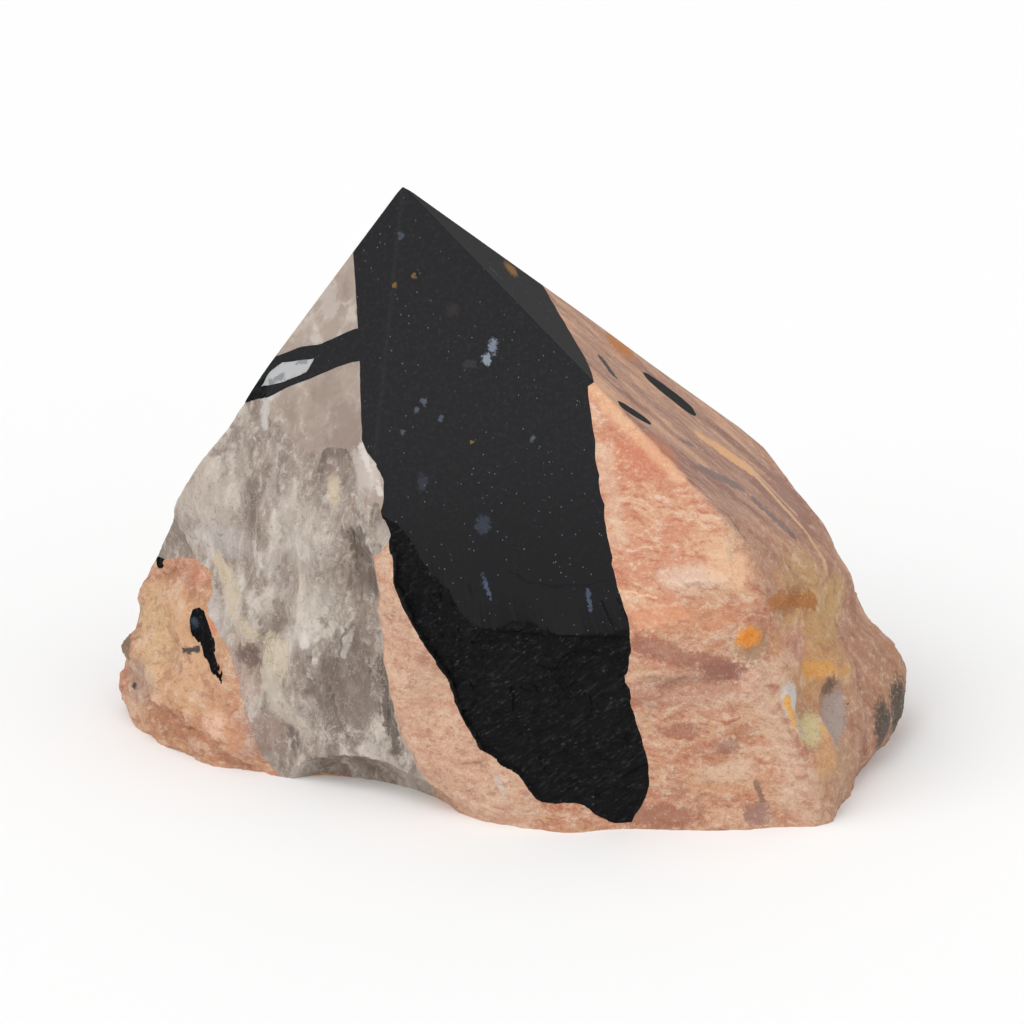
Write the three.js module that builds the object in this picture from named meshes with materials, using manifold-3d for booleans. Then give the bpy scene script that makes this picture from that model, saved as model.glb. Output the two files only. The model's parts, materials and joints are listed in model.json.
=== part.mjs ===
import * as THREE from 'three';
import { ConvexGeometry } from 'three/addons/geometries/ConvexGeometry.js';
import { mergeVertices } from 'three/addons/utils/BufferGeometryUtils.js';
import Module from 'manifold-3d';

// A hand-sized stone of black tourmaline grown through smoky quartz and feldspar. The top is ground
// to a six-sided point, the flanks are left broken, and the base is sawn flat.
// Millimetres, +Z up. An azimuth of 0 degrees faces the viewer (-Y), 90 degrees faces +X.

// The ground point
const HEIGHT = 68.9;
const APEX_X = -12.6;
const APEX_Y = -0.5;
// Each ridge runs down from the apex: azimuth and slope below the horizontal, in degrees
const RIDGES = [
  { azimuth: -11.5, slope: 60.5 },
  { azimuth: 63, slope: 39.3 },
  { azimuth: 113, slope: 39.1 },
  { azimuth: 168, slope: 55 },
  { azimuth: 222, slope: 58 },
  { azimuth: 272, slope: 54 },
];

// The broken flanks: azimuth of the outward normal, lean inwards going up, distance from the apex's
// axis at the base
const WALLS = [
  { name: 'front', azimuth: 2, lean: 7, reach: 28.8 },
  { name: 'front left', azimuth: -27.6, lean: 0.5, reach: 18.1 },
  { name: 'left of the front', azimuth: -54, lean: 13.2, reach: 24.4 },
  { name: 'upper left', azimuth: -96, lean: 31, reach: 50.3 },
  { name: 'left', azimuth: -94, lean: 5, reach: 35.2 },
  { name: 'under the left', azimuth: -78, lean: -50, reach: 31 },
  { name: 'back left', azimuth: -118, lean: 10, reach: 36 },
  { name: 'back of the left', azimuth: 222, lean: 10, reach: 32.5 },
  { name: 'back', azimuth: 174, lean: 8, reach: 31.5 },
  { name: 'back right', azimuth: 140, lean: 8, reach: 43.8 },
  { name: 'right', azimuth: 92, lean: 24, reach: 62.4 },
  { name: 'under the right', azimuth: 77, lean: -26, reach: 54.9 },
  { name: 'right of the front', azimuth: 66, lean: 20, reach: 56.3 },
];
const EDGE_SOFTNESS = 1.5;
const LEAST_FACING = 0.05;

// Knobs and hollows on the flanks: where, how far out (or in, if negative), and half-widths in
// degrees of azimuth and in millimetres of height
const LUMPS = [
  { name: 'right knob', azimuth: 94, z: 6, out: 1.8, across: 10, tall: 4.5 },
  { name: 'right hollow', azimuth: 92, z: 15.5, out: -1.2, across: 14, tall: 4 },
  { name: 'right crest', azimuth: 118, z: 33, out: 3.6, across: 14, tall: 4 },
  { name: 'left crest', azimuth: -97, z: 34, out: 3.2, across: 17, tall: 6.5 },
  { name: 'left shoulder', azimuth: -90, z: 6.5, out: 1.6, across: 20, tall: 7 },
  { name: 'left knob', azimuth: -102, z: 9.3, out: 1.5, across: 4, tall: 1.8 },
  { name: 'crumbled shoulder', azimuth: -38, z: 39.5, out: -4, across: 24, tall: 3.6 },
  { name: 'front base chip', azimuth: 2, z: -0.5, out: -3, across: 17, tall: 2 },
  { name: 'quartz flute', azimuth: -64, z: 24, out: 1, across: 4, tall: 11 },
  { name: 'quartz groove', azimuth: -50, z: 17, out: -1, across: 4, tall: 12 },
  { name: 'quartz rib', azimuth: -36, z: 22, out: 0.9, across: 4, tall: 10 },
  { name: 'quartz gully', azimuth: -17, z: 24, out: -0.9, across: 4, tall: 10 },
  { name: 'feldspar rib', azimuth: 2, z: 14, out: 0.8, across: 6, tall: 9 },
  { name: 'right rib', azimuth: 76, z: 14, out: 1.1, across: 4, tall: 9 },
  { name: 'right dent', azimuth: 82, z: 9, out: -1, across: 4, tall: 4 },
  { name: 'back boss', azimuth: 160, z: 13, out: 1.6, across: 12, tall: 6 },
  { name: 'back hollow', azimuth: 196, z: 21, out: -1.4, across: 12, tall: 6 },
  { name: 'back left boss', azimuth: 236, z: 10, out: 1.4, across: 11, tall: 6 },
];

// A chip out of the base's front left edge: half-lengths along and across the edge, and half-height
const SCOOP = { x: -15.5, y: -18, z: -0.6, along: 12.5, across: 7, tall: 4, turn: -31 };

// Uneven break over all the flanks: height of each wave, and how often it repeats along X, Y and Z
const WAVES = [
  { out: 0.34, x: 0.31, y: 0.22, z: 0.36, shift: 0.4 },
  { out: 0.26, x: -0.42, y: 0.33, z: 0.5, shift: 1.9 },
  { out: 0.2, x: 0.55, y: 0.6, z: -0.35, shift: 3.1 },
  { out: 0.16, x: 0.45, y: -0.66, z: 0.55, shift: 5.2 },
];

// The big crystal is a three-sided prism that leans back with the front facet. Each face has a
// point it passes through and the azimuth and pitch of its outward normal.
const CRYSTAL_FACES = [
  { name: 'left face', x: -18.4, y: -0.8, z: 60.9, azimuth: -132.9, pitch: -28.2 },
  { name: 'right face', x: 13.6, y: -27.1, z: 21.2, azimuth: 108.4, pitch: 0.2 },
  { name: 'tip face', x: 0.8, y: -29.4, z: 6.6, azimuth: -90, pitch: -61.3 },
];

// Its side branch on the left facet, seen from the front as X and Z, and the quartz pocket in it
const BRANCH_OUTLINE = [
  [-8, 57.5], [-18.2, 53.2], [-22.3, 50.7], [-27, 48.5], [-36, 44.2],
  [-36, 39.4], [-30.8, 42.5], [-26.2, 45.4], [-22.9, 47.3], [-18.3, 49.9], [-8, 53.4],
];
const POCKET_OUTLINE = [
  [-26.7, 47.8], [-22.8, 49.2], [-23.8, 47.6], [-26.6, 45.9], [-29.2, 44.7], [-28.4, 46.3],
];
const BRANCH_BACK = 4;

// Where quartz ends and feldspar begins, seen from the front as X and Z
const QUARTZ_OUTLINE = [
  [1, 80], [-60, 80], [-60, 18.5], [-42, 20.4], [-36.8, 22.6], [-35.3, 22.1], [-36, 18.4],
  [-34, 15.6], [-31.9, 10.1], [-30.7, 6.4], [-29.4, 2.6], [-25, -3],
  [-8.2, -3], [-9.6, 3.3], [-12.9, 9.3], [-14.6, 16], [-15.2, 26], [-15.6, 30.3], [1, 33],
];
// The quartz lies on feldspar along a sloping floor that rises towards the back
const QUARTZ_FLOOR = { x: 0, y: -12.4, z: 0, azimuth: 180, pitch: -50.2 };

// Small tourmalines set in the feldspar: centre, the direction they lie along, and half-lengths
// along, across and into the stone
const SMALL_TOURMALINES = [
  { name: 'tourmaline_needle', at: [-36.1, -4.6, 12.9], along: [3.8, -7.5, -6.8], half: [5.4, 1.1, 1.5] },
  { name: 'tourmaline_sliver_near', at: [14.2, -10.4, 44.5], along: [4, 2.7, -3.5], half: [2.7, 0.8, 1] },
  { name: 'tourmaline_sliver_far', at: [18.6, 6.4, 41.1], along: [5.9, 1.7, -5.2], half: [3.9, 0.9, 1] },
  { name: 'tourmaline_chip_left', at: [-41.6, 6.6, 21.1], along: [0.2, 0.4, -1], half: [2, 1.3, 1.6] },
  { name: 'tourmaline_chip_right', at: [39.4, -13, 10], along: [0.4, 1, 0.4], half: [2.6, 0.9, 1.4] },
];
const SMALL_SIDES = 10;
const SMALL_RINGS = 8;

// Neighbouring minerals keep this gap
const GAP = 0.3;

// The flanks reach from just under the base to above the highest break, in this many steps, which
// are closer together by the bias on the far right side
const FLANK_TOP = 50;
const FLANK_BOTTOM = -2;
const STEPS_AROUND = 114;
const STEPS_UP = 24;
const STEP_BIAS = 0.35;
const SCOOP_SIDES = 28;
const SCOOP_RINGS = 18;

// Larger than the stone, for the blocks that trim it
const BLOCK = 240;

const wasm = await Module();
wasm.setup();

function radians(degrees) {
  return THREE.MathUtils.degToRad(degrees);
}

// The unit vector at an azimuth and a pitch above the horizontal
function direction(azimuth, pitch) {
  const level = Math.cos(radians(pitch));
  return new THREE.Vector3(
    Math.sin(radians(azimuth)) * level,
    -Math.cos(radians(azimuth)) * level,
    Math.sin(radians(pitch)),
  );
}

function solid(geometry) {
  const bare = geometry.clone();
  bare.deleteAttribute('normal');
  bare.deleteAttribute('uv');
  const merged = mergeVertices(bare, 1e-4);
  const mesh = new wasm.Mesh({
    numProp: 3,
    vertProperties: new Float32Array(merged.attributes.position.array),
    triVerts: new Uint32Array(merged.index.array),
  });
  return new wasm.Manifold(mesh);
}

function geometryOf(manifold) {
  const mesh = manifold.getMesh();
  const geometry = new THREE.BufferGeometry();
  geometry.setAttribute('position', new THREE.BufferAttribute(mesh.vertProperties, 3));
  geometry.setIndex(new THREE.BufferAttribute(mesh.triVerts, 1));
  geometry.computeVertexNormals();
  return geometry;
}

// The everyday unevenness of a broken surface at a point
function unevenness(x, y, z) {
  let out = 0;
  for (const wave of WAVES) {
    out += wave.out * Math.sin(wave.x * x + wave.y * y + wave.z * z + wave.shift);
  }
  return out;
}

// Distance from the apex's axis to the broken surface: the least of the walls' distances with
// its corners rounded, plus the lumps and the unevenness
function flankRadius(azimuth, z) {
  let sum = 0;
  for (const wall of WALLS) {
    const facing = Math.cos(radians(azimuth - wall.azimuth));
    if (facing > LEAST_FACING) {
      const reach = (wall.reach - z * Math.tan(radians(wall.lean))) / facing;
      sum += Math.exp(-reach / EDGE_SOFTNESS);
    }
  }
  let radius = -EDGE_SOFTNESS * Math.log(sum);
  for (const lump of LUMPS) {
    const around = THREE.MathUtils.euclideanModulo(azimuth - lump.azimuth + 180, 360) - 180;
    const across = around / lump.across;
    const tall = (z - lump.z) / lump.tall;
    radius += lump.out * Math.exp(-across * across - tall * tall);
  }
  const side = direction(azimuth, 0);
  return radius + unevenness(APEX_X + radius * side.x, APEX_Y + radius * side.y, z);
}

// The broken lump: a cylinder about the apex's axis, its wall moved out to the flanks, with
// untouched stone above it
function roughLump() {
  const geometry = new THREE.CylinderGeometry(1, 1, FLANK_TOP - FLANK_BOTTOM, STEPS_AROUND, STEPS_UP);
  const position = geometry.attributes.position;
  for (let i = 0; i < position.count; i += 1) {
    const turn = Math.atan2(position.getX(i), position.getZ(i));
    const fraction = Math.hypot(position.getX(i), position.getZ(i));
    const z = position.getY(i) + (FLANK_TOP + FLANK_BOTTOM) / 2;
    const azimuth = THREE.MathUtils.radToDeg(turn + STEP_BIAS * Math.cos(turn));
    const side = direction(azimuth, 0).multiplyScalar(fraction * flankRadius(azimuth, z));
    position.setXYZ(i, APEX_X + side.x, APEX_Y + side.y, z);
  }
  const top = { x: APEX_X, y: APEX_Y, z: FLANK_TOP, azimuth: 0, pitch: 90 };
  return solid(geometry).add(beyond(top, -GAP));
}

// The ground point, as one six-sided pyramid that reaches down to the base
function groundPoint() {
  const apex = new THREE.Vector3(APEX_X, APEX_Y, HEIGHT);
  const corners = [apex];
  for (const ridge of RIDGES) {
    const down = direction(ridge.azimuth, -ridge.slope);
    corners.push(apex.clone().addScaledVector(down, HEIGHT / -down.z));
  }
  return solid(new ConvexGeometry(corners));
}

// An ellipsoid at a place, its longest axis turned from +X to the given direction
function ellipsoid(centre, along, half, sides, rings) {
  const geometry = new THREE.SphereGeometry(1, sides, rings);
  geometry.rotateZ(Math.PI / 2);
  geometry.scale(half[0], half[1], half[2]);
  const xAxis = along.clone().normalize();
  const yAxis = new THREE.Vector3(0, 0, 1).cross(xAxis).normalize();
  const zAxis = xAxis.clone().cross(yAxis);
  geometry.applyMatrix4(new THREE.Matrix4().makeBasis(xAxis, yAxis, zAxis));
  geometry.translate(centre[0], centre[1], centre[2]);
  return solid(geometry);
}

function scoop() {
  const along = direction(SCOOP.turn + 90, 0);
  return ellipsoid(
    [SCOOP.x, SCOOP.y, SCOOP.z],
    along,
    [SCOOP.along, SCOOP.across, SCOOP.tall],
    SCOOP_SIDES,
    SCOOP_RINGS,
  );
}

// A block that fills everything beyond a plane, moved out by shift
function beyond(face, shift) {
  const normal = direction(face.azimuth, face.pitch);
  const geometry = new THREE.BoxGeometry(BLOCK, BLOCK, BLOCK);
  geometry.applyQuaternion(
    new THREE.Quaternion().setFromUnitVectors(new THREE.Vector3(1, 0, 0), normal),
  );
  const centre = new THREE.Vector3(face.x, face.y, face.z).addScaledVector(normal, shift + BLOCK / 2);
  geometry.translate(centre.x, centre.y, centre.z);
  return solid(geometry);
}

// An outline of X and Z points with every side moved out by shift, whichever way it runs
function movedOutline(points, shift) {
  const corners = points.map(([x, z]) => new THREE.Vector2(x, z));
  const inwards = THREE.ShapeUtils.isClockWise(corners) ? -1 : 1;
  return corners.map((corner, i) => {
    const before = corners[(i + corners.length - 1) % corners.length];
    const after = corners[(i + 1) % corners.length];
    const a = corner.clone().sub(before).normalize();
    const b = after.clone().sub(corner).normalize();
    const sideA = new THREE.Vector2(a.y, -a.x).multiplyScalar(inwards);
    const sideB = new THREE.Vector2(b.y, -b.x).multiplyScalar(inwards);
    const middle = sideA.clone().add(sideB).normalize();
    return corner.clone().addScaledVector(middle, shift / Math.max(middle.dot(sideA), 0.5));
  });
}

// An outline seen from the front, carried from the plane y = front to y = back
function outlineSolid(points, shift, front, back) {
  const shape = new THREE.Shape(movedOutline(points, shift));
  const geometry = new THREE.ExtrudeGeometry(shape, { depth: back - front, bevelEnabled: false });
  geometry.rotateX(Math.PI / 2);
  geometry.translate(0, back, 0);
  return solid(geometry);
}

// The room of the big crystal and its branch, all its sides moved out by shift
function crystalRoom(shift) {
  let prism = solid(new THREE.BoxGeometry(BLOCK, BLOCK, BLOCK));
  for (const face of CRYSTAL_FACES) {
    prism = prism.subtract(beyond(face, shift));
  }
  const branch = outlineSolid(BRANCH_OUTLINE, shift, -BLOCK / 2, BRANCH_BACK + shift);
  const pocket = outlineSolid(POCKET_OUTLINE, -shift, -BLOCK / 2, BLOCK / 2);
  const leftOfPrism = beyond(CRYSTAL_FACES[0], -GAP);
  return prism.add(branch.intersect(leftOfPrism).subtract(pocket));
}

function quartzRoom(shift) {
  const body = outlineSolid(QUARTZ_OUTLINE, shift, -BLOCK / 2, BLOCK / 2);
  return body.subtract(beyond(QUARTZ_FLOOR, shift));
}

function smallTourmaline(piece, shift) {
  const along = new THREE.Vector3(...piece.along);
  const half = piece.half.map((size) => size + shift);
  return ellipsoid(piece.at, along, half, SMALL_SIDES, SMALL_RINGS);
}

const stone = groundPoint().intersect(roughLump()).subtract(scoop());
const crystal = stone.intersect(crystalRoom(-GAP / 2));
const quartz = stone.intersect(quartzRoom(-GAP / 2)).subtract(crystalRoom(GAP / 2));
let feldspar = stone.subtract(quartzRoom(GAP / 2)).subtract(crystalRoom(GAP / 2));
const small = SMALL_TOURMALINES.map((piece) => {
  const setIn = feldspar.intersect(smallTourmaline(piece, -GAP / 2));
  feldspar = feldspar.subtract(smallTourmaline(piece, GAP / 2));
  return setIn;
});

const BLACK = { color: 0x2c2c2e, roughness: 0.35, metalness: 0 };
const GREY_BROWN = { color: 0xa59588, roughness: 0.45, metalness: 0 };
const PINK_ORANGE = { color: 0xdda078, roughness: 0.6, metalness: 0 };

const pieces = [
  { name: 'tourmaline_crystal', body: crystal, look: BLACK },
  { name: 'smoky_quartz', body: quartz, look: GREY_BROWN },
  { name: 'feldspar', body: feldspar, look: PINK_ORANGE },
  ...small.map((body, i) => ({ name: SMALL_TOURMALINES[i].name, body, look: BLACK })),
];

// The origin is the middle of the whole stone's box, on the surface it stands on
const box = new THREE.Box3();
for (const piece of pieces) {
  piece.geometry = geometryOf(piece.body);
  piece.geometry.computeBoundingBox();
  box.union(piece.geometry.boundingBox);
}
const middle = box.getCenter(new THREE.Vector3());

const specimen = new THREE.Group();
specimen.name = 'tourmaline_specimen';
specimen.position.set(-middle.x, -middle.y, -box.min.z);
for (const piece of pieces) {
  const mesh = new THREE.Mesh(piece.geometry, new THREE.MeshStandardMaterial(piece.look));
  mesh.name = piece.name;
  specimen.add(mesh);
}

export default specimen;
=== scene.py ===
import functools
import itertools
import json
import math

import bmesh
import bpy
import numpy as np
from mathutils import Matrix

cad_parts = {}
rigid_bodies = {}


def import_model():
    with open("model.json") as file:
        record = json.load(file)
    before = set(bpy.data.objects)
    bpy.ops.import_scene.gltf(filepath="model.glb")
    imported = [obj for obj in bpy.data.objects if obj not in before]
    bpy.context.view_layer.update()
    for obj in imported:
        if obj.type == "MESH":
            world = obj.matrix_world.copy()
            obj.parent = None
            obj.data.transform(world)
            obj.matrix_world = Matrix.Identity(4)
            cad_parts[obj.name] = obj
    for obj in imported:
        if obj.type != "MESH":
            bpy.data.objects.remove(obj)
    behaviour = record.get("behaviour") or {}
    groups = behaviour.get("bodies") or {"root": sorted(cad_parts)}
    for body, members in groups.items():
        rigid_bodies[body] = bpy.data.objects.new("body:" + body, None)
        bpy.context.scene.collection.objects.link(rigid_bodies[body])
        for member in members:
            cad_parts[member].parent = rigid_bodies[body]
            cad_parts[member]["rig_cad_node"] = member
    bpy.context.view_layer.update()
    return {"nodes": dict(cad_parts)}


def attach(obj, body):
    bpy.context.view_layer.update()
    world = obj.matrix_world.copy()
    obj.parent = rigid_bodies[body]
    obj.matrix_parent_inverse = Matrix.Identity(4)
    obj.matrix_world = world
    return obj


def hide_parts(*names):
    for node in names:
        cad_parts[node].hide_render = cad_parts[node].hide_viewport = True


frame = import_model()

bl_info = {
    "name": "Tourmaline Crystal Specimen",
    "version": (1, 0, 0),
    "blender": (4, 5, 0),
    "location": "3D View > Sidebar > Specimen",
    "description": "Black tourmaline grown through smoky quartz and feldspar, ground to a point",
    "category": "Object",
}

# Sizes are millimetres in the stone's own frame: an azimuth of 0 degrees faces the viewer (-Y), 90 degrees
# faces +X. The stone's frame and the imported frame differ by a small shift, found from the crystal's tip.
MM = 0.001
HEIGHT = 68.9
APEX = np.array([-12.6, -0.5, HEIGHT])

# The ground point's ridges: azimuth and slope below the horizontal
RIDGES = [(-11.5, 60.5), (63, 39.3), (113, 39.1), (168, 55), (222, 58), (272, 54)]
# How far the very tip is worn down, where on the stone the ridges are worn more (the azimuths between which
# it sets in, the height below which it does and how far that takes), and what still counts as ground
TIP_LOSS = 0.25
SOFT_AZIMUTHS = (25, 45)
SOFT_BELOW = 50
SOFT_FADE = 8
GROUND_MARGIN = 0.07

# The broken flanks: azimuth of the outward normal, lean inwards going up, distance from the apex's axis at
# the base
WALLS = [
    (2, 7, 28.8), (-27.6, 0.5, 18.1), (-54, 13.2, 24.4), (-96, 31, 50.3), (-94, 5, 35.2), (-78, -50, 31),
    (-118, 10, 36), (222, 10, 32.5), (174, 8, 31.5), (140, 8, 43.8), (92, 24, 62.4), (77, -26, 54.9),
    (66, 20, 56.3),
]
EDGE_SOFTNESS = 1.5
LEAST_FACING = 0.05
# How deep the base's edge is chipped, and up to which height
BASE_CHIPS = 0.6
BASE_CHIPS_HEIGHT = 0.6

# Knobs and hollows: azimuth, height, how far out, half-width in degrees and half-height
LUMPS = [
    (94, 6, 1.8, 10, 4.5), (92, 15.5, -1.2, 14, 4), (118, 33, 3.6, 14, 4), (-97, 34, 3.2, 17, 6.5),
    (-90, 6.5, 1.6, 20, 7), (-102, 9.3, 1.5, 4, 1.8), (-30, 39.5, -2.6, 13, 3.4), (2, -0.5, -3, 17, 2),
    (-64, 24, 1, 4, 11), (-50, 17, -1, 4, 12), (-36, 22, 0.9, 4, 10), (-17, 24, -0.9, 4, 10),
    (2, 14, 0.8, 6, 9), (76, 14, 1.1, 4, 9), (82, 9, -1, 4, 4), (160, 13, 1.6, 12, 6),
    (196, 21, -1.4, 12, 6), (236, 10, 1.4, 11, 6), (-51, 0, -1.3, 9, 4), (-97, 28.5, 2.6, 15, 4.5),
    (-97, 14.5, 0.9, 14, 2.6), (-97, 6.5, -0.6, 10, 1.6), (98, 21.5, -1, 16, 5),
]
# Height of each wave of the break, how often it repeats along X, Y and Z, and its shift
WAVES = [
    (0.34, 0.31, 0.22, 0.36, 0.4), (0.26, -0.42, 0.33, 0.5, 1.9),
    (0.2, 0.55, 0.6, -0.35, 3.1), (0.16, 0.45, -0.66, 0.55, 5.2),
]
# The chip out of the base's front left edge
SCOOP_CENTRE = np.array([-16.5, -19.4, -0.6])
SCOOP_HALF = np.array([11.4, 5.6, 5.5])
SCOOP_TURN = 59
SCOOP_ROUGHNESS = 0.25
FAR_AWAY = 1e3

# The big crystal's faces: a point, the azimuth and pitch of the outward normal, and how far the real face
# wanders off the plane (positions along Z or X, then the distances outwards there)
CRYSTAL_FACES = {
    "left": ((-18.4, -0.8, 60.9), -132.9, -28.2, 2,
             (0, 6.4, 10, 14.3, 18, 21.1, 24, 26.6, 30.7, 34, 37.7, 39.8, 40.8, 42.4, 52, 61),
             (0, 0, -0.1, 0.5, 0, 0.1, 0.2, 0.4, -0.3, -0.9, -1.6, -1.5, -0.5, 0.2, -0.1, 0)),
    "right": ((13.6, -27.1, 21.2), 108.4, 0.2, 2,
              (1.3, 3, 5, 8.3, 11.9, 15, 17.7, 19.5, 21.2, 25.6, 28.7, 37.7, 48.4, 49.2, 50.5, 52.6, 60),
              (0, 0.9, 1.5, 1.7, 1.1, 0.3, -0.4, 0.1, 0.5, 0.2, -0.4, -0.3, 0.2, 2, 1.7, 1.4, 0.6)),
    "tip": ((0.8, -29.4, 6.6), -90, -61.3, 0,
            (-3, 0.9, 2.4, 3.8, 5, 6.5, 7.8, 10.7, 16), (0, 0.1, 0.9, 1.8, 1.4, 0.2, -0.3, -0.1, 0)),
    "foot": ((12, -28, 0.9), 0, -90, 0, (-60, 60), (0, 0)),
}
# The side branch on the left facet and the quartz pocket in its fork, seen from the front as X and Z
BRANCH_OUTLINE = [
    (-8, 57.5), (-18.2, 53.2), (-20.6, 51.7), (-22.3, 50.7), (-24.6, 49.9), (-27, 48.5), (-36, 44.2),
    (-36, 39.4), (-30.8, 42.5), (-28.4, 43.9), (-26.2, 45.4), (-22.9, 47.3), (-20.2, 48.9),
    (-18.3, 49.9), (-8, 53.4),
]
BRANCH_BACK = 4
POCKET_OUTLINE = [(-26.7, 47.8), (-22.8, 49.2), (-23.8, 47.6), (-26.6, 45.9), (-29.2, 44.7), (-28.4, 46.3)]
# Where quartz ends and feldspar begins, and the sloping floor it lies on
QUARTZ_OUTLINE = [
    (1, 80), (-60, 80), (-60, 18.5), (-42, 20.4), (-38.6, 22.2), (-36.8, 22.6), (-35.3, 22.1), (-35.1, 20),
    (-36, 18.4), (-35.6, 16.9), (-34, 15.6), (-32.6, 12.9), (-31.9, 10.1), (-30.7, 6.4), (-29.4, 2.6),
    (-25, -3), (-8.2, -3), (-9.6, 3.3), (-11.2, 6), (-12.9, 9.3), (-14.1, 13.8), (-15, 20), (-15.4, 26),
    (-16, 29.9), (-13.9, 32.2), (1, 40),
]
QUARTZ_FLOOR = ((0, -12.4, 0), 180, -50.2)

# Blades, blocks and hollows of the break: centre, half-sizes, how far out
FORMS = [
    ((-32.3, -6.3, 20.2), (2, 3.2, 3.8), 0.5), ((-27.6, -12.3, 14.6), (1.4, 2.5, 2.6), 0.5),
    ((-26.3, -13.6, 9.2), (1.5, 2.5, 2.6), 0.4), ((-30.7, -10.1, 14.3), (1.4, 2, 1.3), -0.6),
    ((-16.5, -16, 39.5), (1.6, 2.5, 3.2), 0.35), ((-20.6, -13.4, 35.6), (0.8, 2, 2), 0.4),
    ((-18, -17.6, 12.5), (2.8, 3, 5.2), -0.5), ((-17, -18, 29.5), (1.3, 3, 3.5), -0.4),
    ((-34.8, -8.6, 5.2), (1.6, 2.5, 1.4), 0.6), ((-41.5, -1.5, 4.6), (3.2, 4, 0.7), -0.5),
    ((27.2, -25, 21.5), (1.6, 2.2, 1.4), -0.8), ((32, -17, 24), (2.8, 4.5, 1), -0.9),
    ((34, -23.6, 11.8), (1.5, 2.5, 3.6), -0.9), ((37.2, -17.5, 10.3), (1.5, 3.5, 3.6), -1.2),
    ((30.6, -21.5, 18.2), (2.2, 3, 2.2), 0.5), ((20, -26.2, 17.4), (5, 3, 0.7), -0.35),
    ((24.5, -27, 6.8), (4, 3, 1.3), 0.35), ((32.5, -27.5, 2.6), (2.5, 2.5, 1.6), 0.3),
]

# Crests and grooves of the break: a path, half-width, how far out
RIBS = [
    (((25.4, -25, 23.1), (28.4, -25.9, 15.2), (31.9, -26.6, 8), (34.5, -27.2, 1.4)), 1.3, 0.8),
    (((35.6, -21.5, 14), (36.4, -21, 8)), 0.7, 0.7),
    (((31, -25, 15.6), (33, -25, 9)), 0.6, 0.5),
    (((-43.1, 0.7, 4.8), (-40.5, -2.8, 4.6), (-38.6, -4.9, 5.6), (-36.6, -6.8, 6.2)), 0.6, -0.5),
    (((-18.3, -17.7, 21.7), (-20.2, -16.7, 17.1), (-21.6, -16.3, 12.4), (-20.6, -16.8, 9)), 0.5, 0.45),
    (((-24.3, -12.1, 32.5), (-24.5, -13.4, 25.7), (-24.7, -14, 19)), 0.5, 0.4),
    (((-19.3, -10.8, 40.2), (-18.1, -16.2, 36), (-18.6, -17.3, 28.7)), 0.5, 0.4),
    (((-4.8, -23, 28.3), (-2.9, -25.1, 22.4)), 0.25, -0.35),
]

# Small tourmalines: node, piece, centre, the direction it lies along, half-lengths along, across and
# inwards, how much thinner it gets towards its far end, and how far it is squared off
SMALL_TOURMALINES = [
    ("tourmaline_needle", "black_needle", (-36.1, -4.6, 12.9), (3.8, -7.5, -6.8), (5.2, 0.62, 3.4), 0.8, 4),
    ("tourmaline_sliver_near", "near_sliver", (14.2, -10.4, 44.5), (4, 2.7, -3.5), (2.9, 1.1, 1.2), 0.3, 2.8),
    ("tourmaline_sliver_far", "far_sliver", (18.6, 6.4, 41.1), (5.9, 1.7, -5.2), (4.4, 1.4, 1.2), -0.4, 2.8),
    ("tourmaline_chip_left", "left_chip", (-41.6, 6.6, 21.1), (0.2, 0.4, -1), (2, 1.3, 1.6), 0.2, 2.8),
    ("tourmaline_chip_right", "right_chip", (39.4, -13, 10), (0.4, 1, 0.4), (2.6, 0.9, 1.4), 0.5, 2.8),
]

# The feldspar strip left of the crystal: where it rises and ends along X (the end as -X), where it rises
# along -Y, and its crest's X and half-width
STRIP_LEFT = (-18, -15)
STRIP_RIGHT = (-4, 0)
STRIP_FRONT = (12, 16)
STRIP_CREST = -11.5
STRIP_CREST_HALF = 1.6
# The step under the crystal's ground face: its height at X = -2 and its slope along X, how deep it is, the X
# between which it starts, and the height below which it fades out and how fast
STEP_HEIGHT = 23.6
STEP_SLOPE = 0.05
STEP_DEPTH = 0.55
STEP_START = (-6, -2)
STEP_FADE = (20, 4)
# The way the tourmaline's fibres run on its broken face, along X and Z
FIBRES = (0.82, 0.57)

# Fineness of the visual surface
STEPS_AROUND = 800
STEPS_BROKEN = 118
STEPS_GROUND = 26
PROBE_HEIGHT = 12.0
PROBE_STEPS = 2880
# The heights between which the break's top is looked for, in how many steps, and how often a step is halved
TOP_BETWEEN = (8, 49)
TOP_STEPS = 83
HALVINGS = 9
# The most that the break's top rises from one column of the surface to the next, and how far that reaches
MOST_RISE = 0.6
RISE_COLUMNS = 30
# How softly break and ground facets meet, how much more so in the feldspar at the right, and the azimuths
# between which that starts and ends
MEETING = 0.03
SOFT_MEETING = 0.5
SOFT_MEETING_STARTS = (48, 62)
SOFT_MEETING_ENDS = (115, 150)
# The small crystals: fineness, how rough they are, and how much smaller they are made for that
PEBBLE_AROUND = 48
PEBBLE_ROWS = 32
PEBBLE_ROUGHNESS = 0.07
PEBBLE_FIT = 0.97
# The blocks that cut the stone up: their reach, the fineness of their faces and of their outlines
BLOCK = 150
FACE_HALF = 85
FACE_STEP = 0.75
OUTLINE_REACH = 45
OUTLINE_STEP = 0.5
OUTLINE_DEPTH_STEP = 0.8
# Faces that meet at more than this angle, in degrees, keep a sharp edge between them
SHARP_ANGLE = 32
# The noise behind each border's wander: the crystal's faces (plus 0 or 2), the branch, the pocket in its
# fork, the quartz and its floor
FACE_SEED = 20
BRANCH_SEED = 31
POCKET_SEED = 35
QUARTZ_SEED = 41
FLOOR_SEED = 45

# The photograph's camera: its distance, its height above the horizon and what it looks at
CAMERA_DISTANCE = 700
CAMERA_PITCH = 20
LOOKED_AT = (0, 0, 28.6)
VIEW_WIDTH = 120.47
SENSOR = 36

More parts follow.
